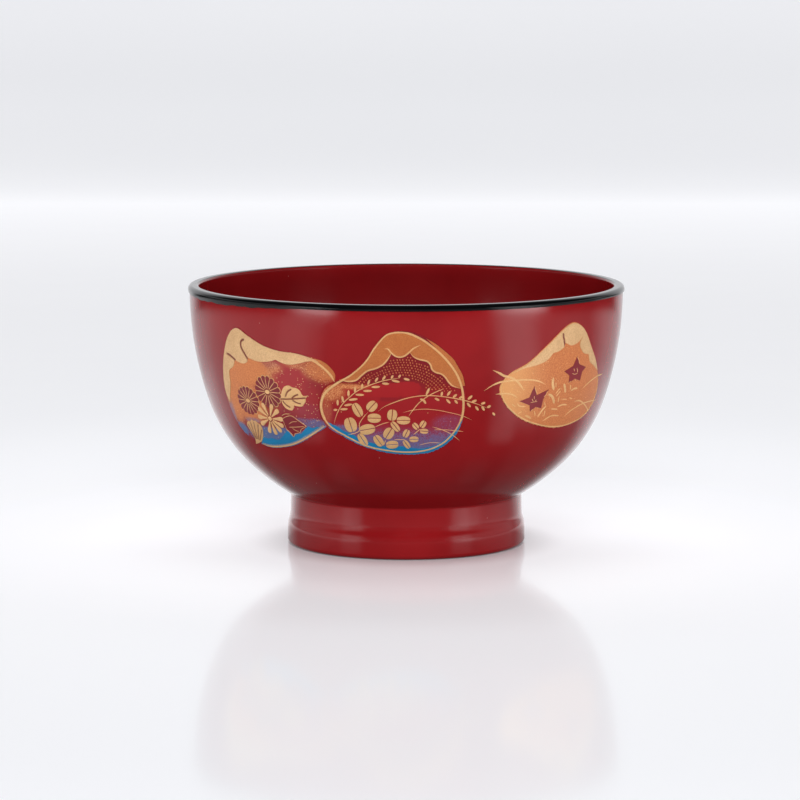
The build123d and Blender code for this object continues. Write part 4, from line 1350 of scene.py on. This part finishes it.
def sweep():
    """White acrylic floor that curves up behind the bowl, whose glow carries painted light and shade and
    whose colour has a painted contact shadow under the foot. The card stands for it in reflections.
    """
    half_width = 3.0
    bend_start = 1.2
    bend_radius = 0.8
    bend_steps = 16
    rows = [(-3.0, 0.0), (bend_start, 0.0)]
    for step in range(1, bend_steps + 1):
        angle = math.radians(90 * step / bend_steps)
        rows.append((bend_start + bend_radius * math.sin(angle), bend_radius * (1 - math.cos(angle))))
    rows.append((bend_start + bend_radius, 3.0))
    vertices = [(side * half_width, y, z) for y, z in rows for side in (-1, 1)]
    faces = [(2 * i, 2 * i + 1, 2 * i + 3, 2 * i + 2) for i in range(len(rows) - 1)]
    floor = new_object("floor", vertices, faces)
    floor.data.shade_smooth()
    shader = Shader("white_acrylic")
    clouds = shader.mix(shader.ramp(shader.noise(3.0), 0.3, 0.7), srgb(229, 230, 234), srgb(232, 233, 236))
    rough = shader.ramp(shader.noise(40.0, 3.0), 0.3, 0.7, 0.08, 0.1)
    reach = shader.length(shader.place)
    y = shader.parts(shader.place)[1]
    shader.put(shader.ramp(reach, 0.06, 0.14, 0.4, 0.05), shader.surface.inputs["Specular IOR Level"])
    # Painted light and shade in the floor's glow: lifted beside and behind the foot and round the bowl,
    # dimmer in front and close round the foot, brighter further out.
    painted_light_beside_foot = shader.math("MULTIPLY", shader.ramp(reach, 0.05, 0.1, 0.1, 0.0), shader.ramp(y, -0.03, 0.02))
    painted_light_round_bowl = shader.math("ADD", shader.ramp(reach, 0.14, 0.3, 0.06, 0.0), painted_light_beside_foot)
    glow = shader.math("ADD", shader.ramp(y, -0.2, 0.1, 0.22, 0.33), painted_light_round_bowl)
    glow = shader.math("MULTIPLY", glow, shader.ramp(reach, 0.03, 0.045, 0.4, 1.0))
    glow = shader.math("ADD", glow, shader.ramp(reach, 0.3, 2.2, 0.0, 0.42))
    shader.put(glow, shader.surface.inputs["Emission Strength"])
    # Painted contact shadow: a thin dark ring in the floor's colour just under the foot's edge.
    painted_contact_shadow = shader.mix(shader.ramp(reach, 0.0316, 0.0324), srgb(40, 20, 22), clouds)
    acrylic = shader.finish(painted_contact_shadow, rough, IOR=1.5, Emission_Color=srgb(250, 251, 255))
    floor.data.materials.append(acrylic)
    floor.visible_glossy = False
    floor.visible_diffuse = False


sweep()
glow_card()
light_sky()
for lamp in LAMPS:
    softbox(*lamp)

camera = bpy.data.objects.new("camera", bpy.data.cameras.new("camera"))
bpy.context.collection.objects.link(camera)
camera.location = CAMERA_PLACE
camera.rotation_euler = (math.radians(90 - CAMERA_DIP), 0.0, 0.0)
camera.data.sensor_width = CAMERA_SENSOR
camera.data.lens = CAMERA_LENS
bpy.context.scene.camera = camera
bpy.context.scene.view_settings.view_transform = "Standard"
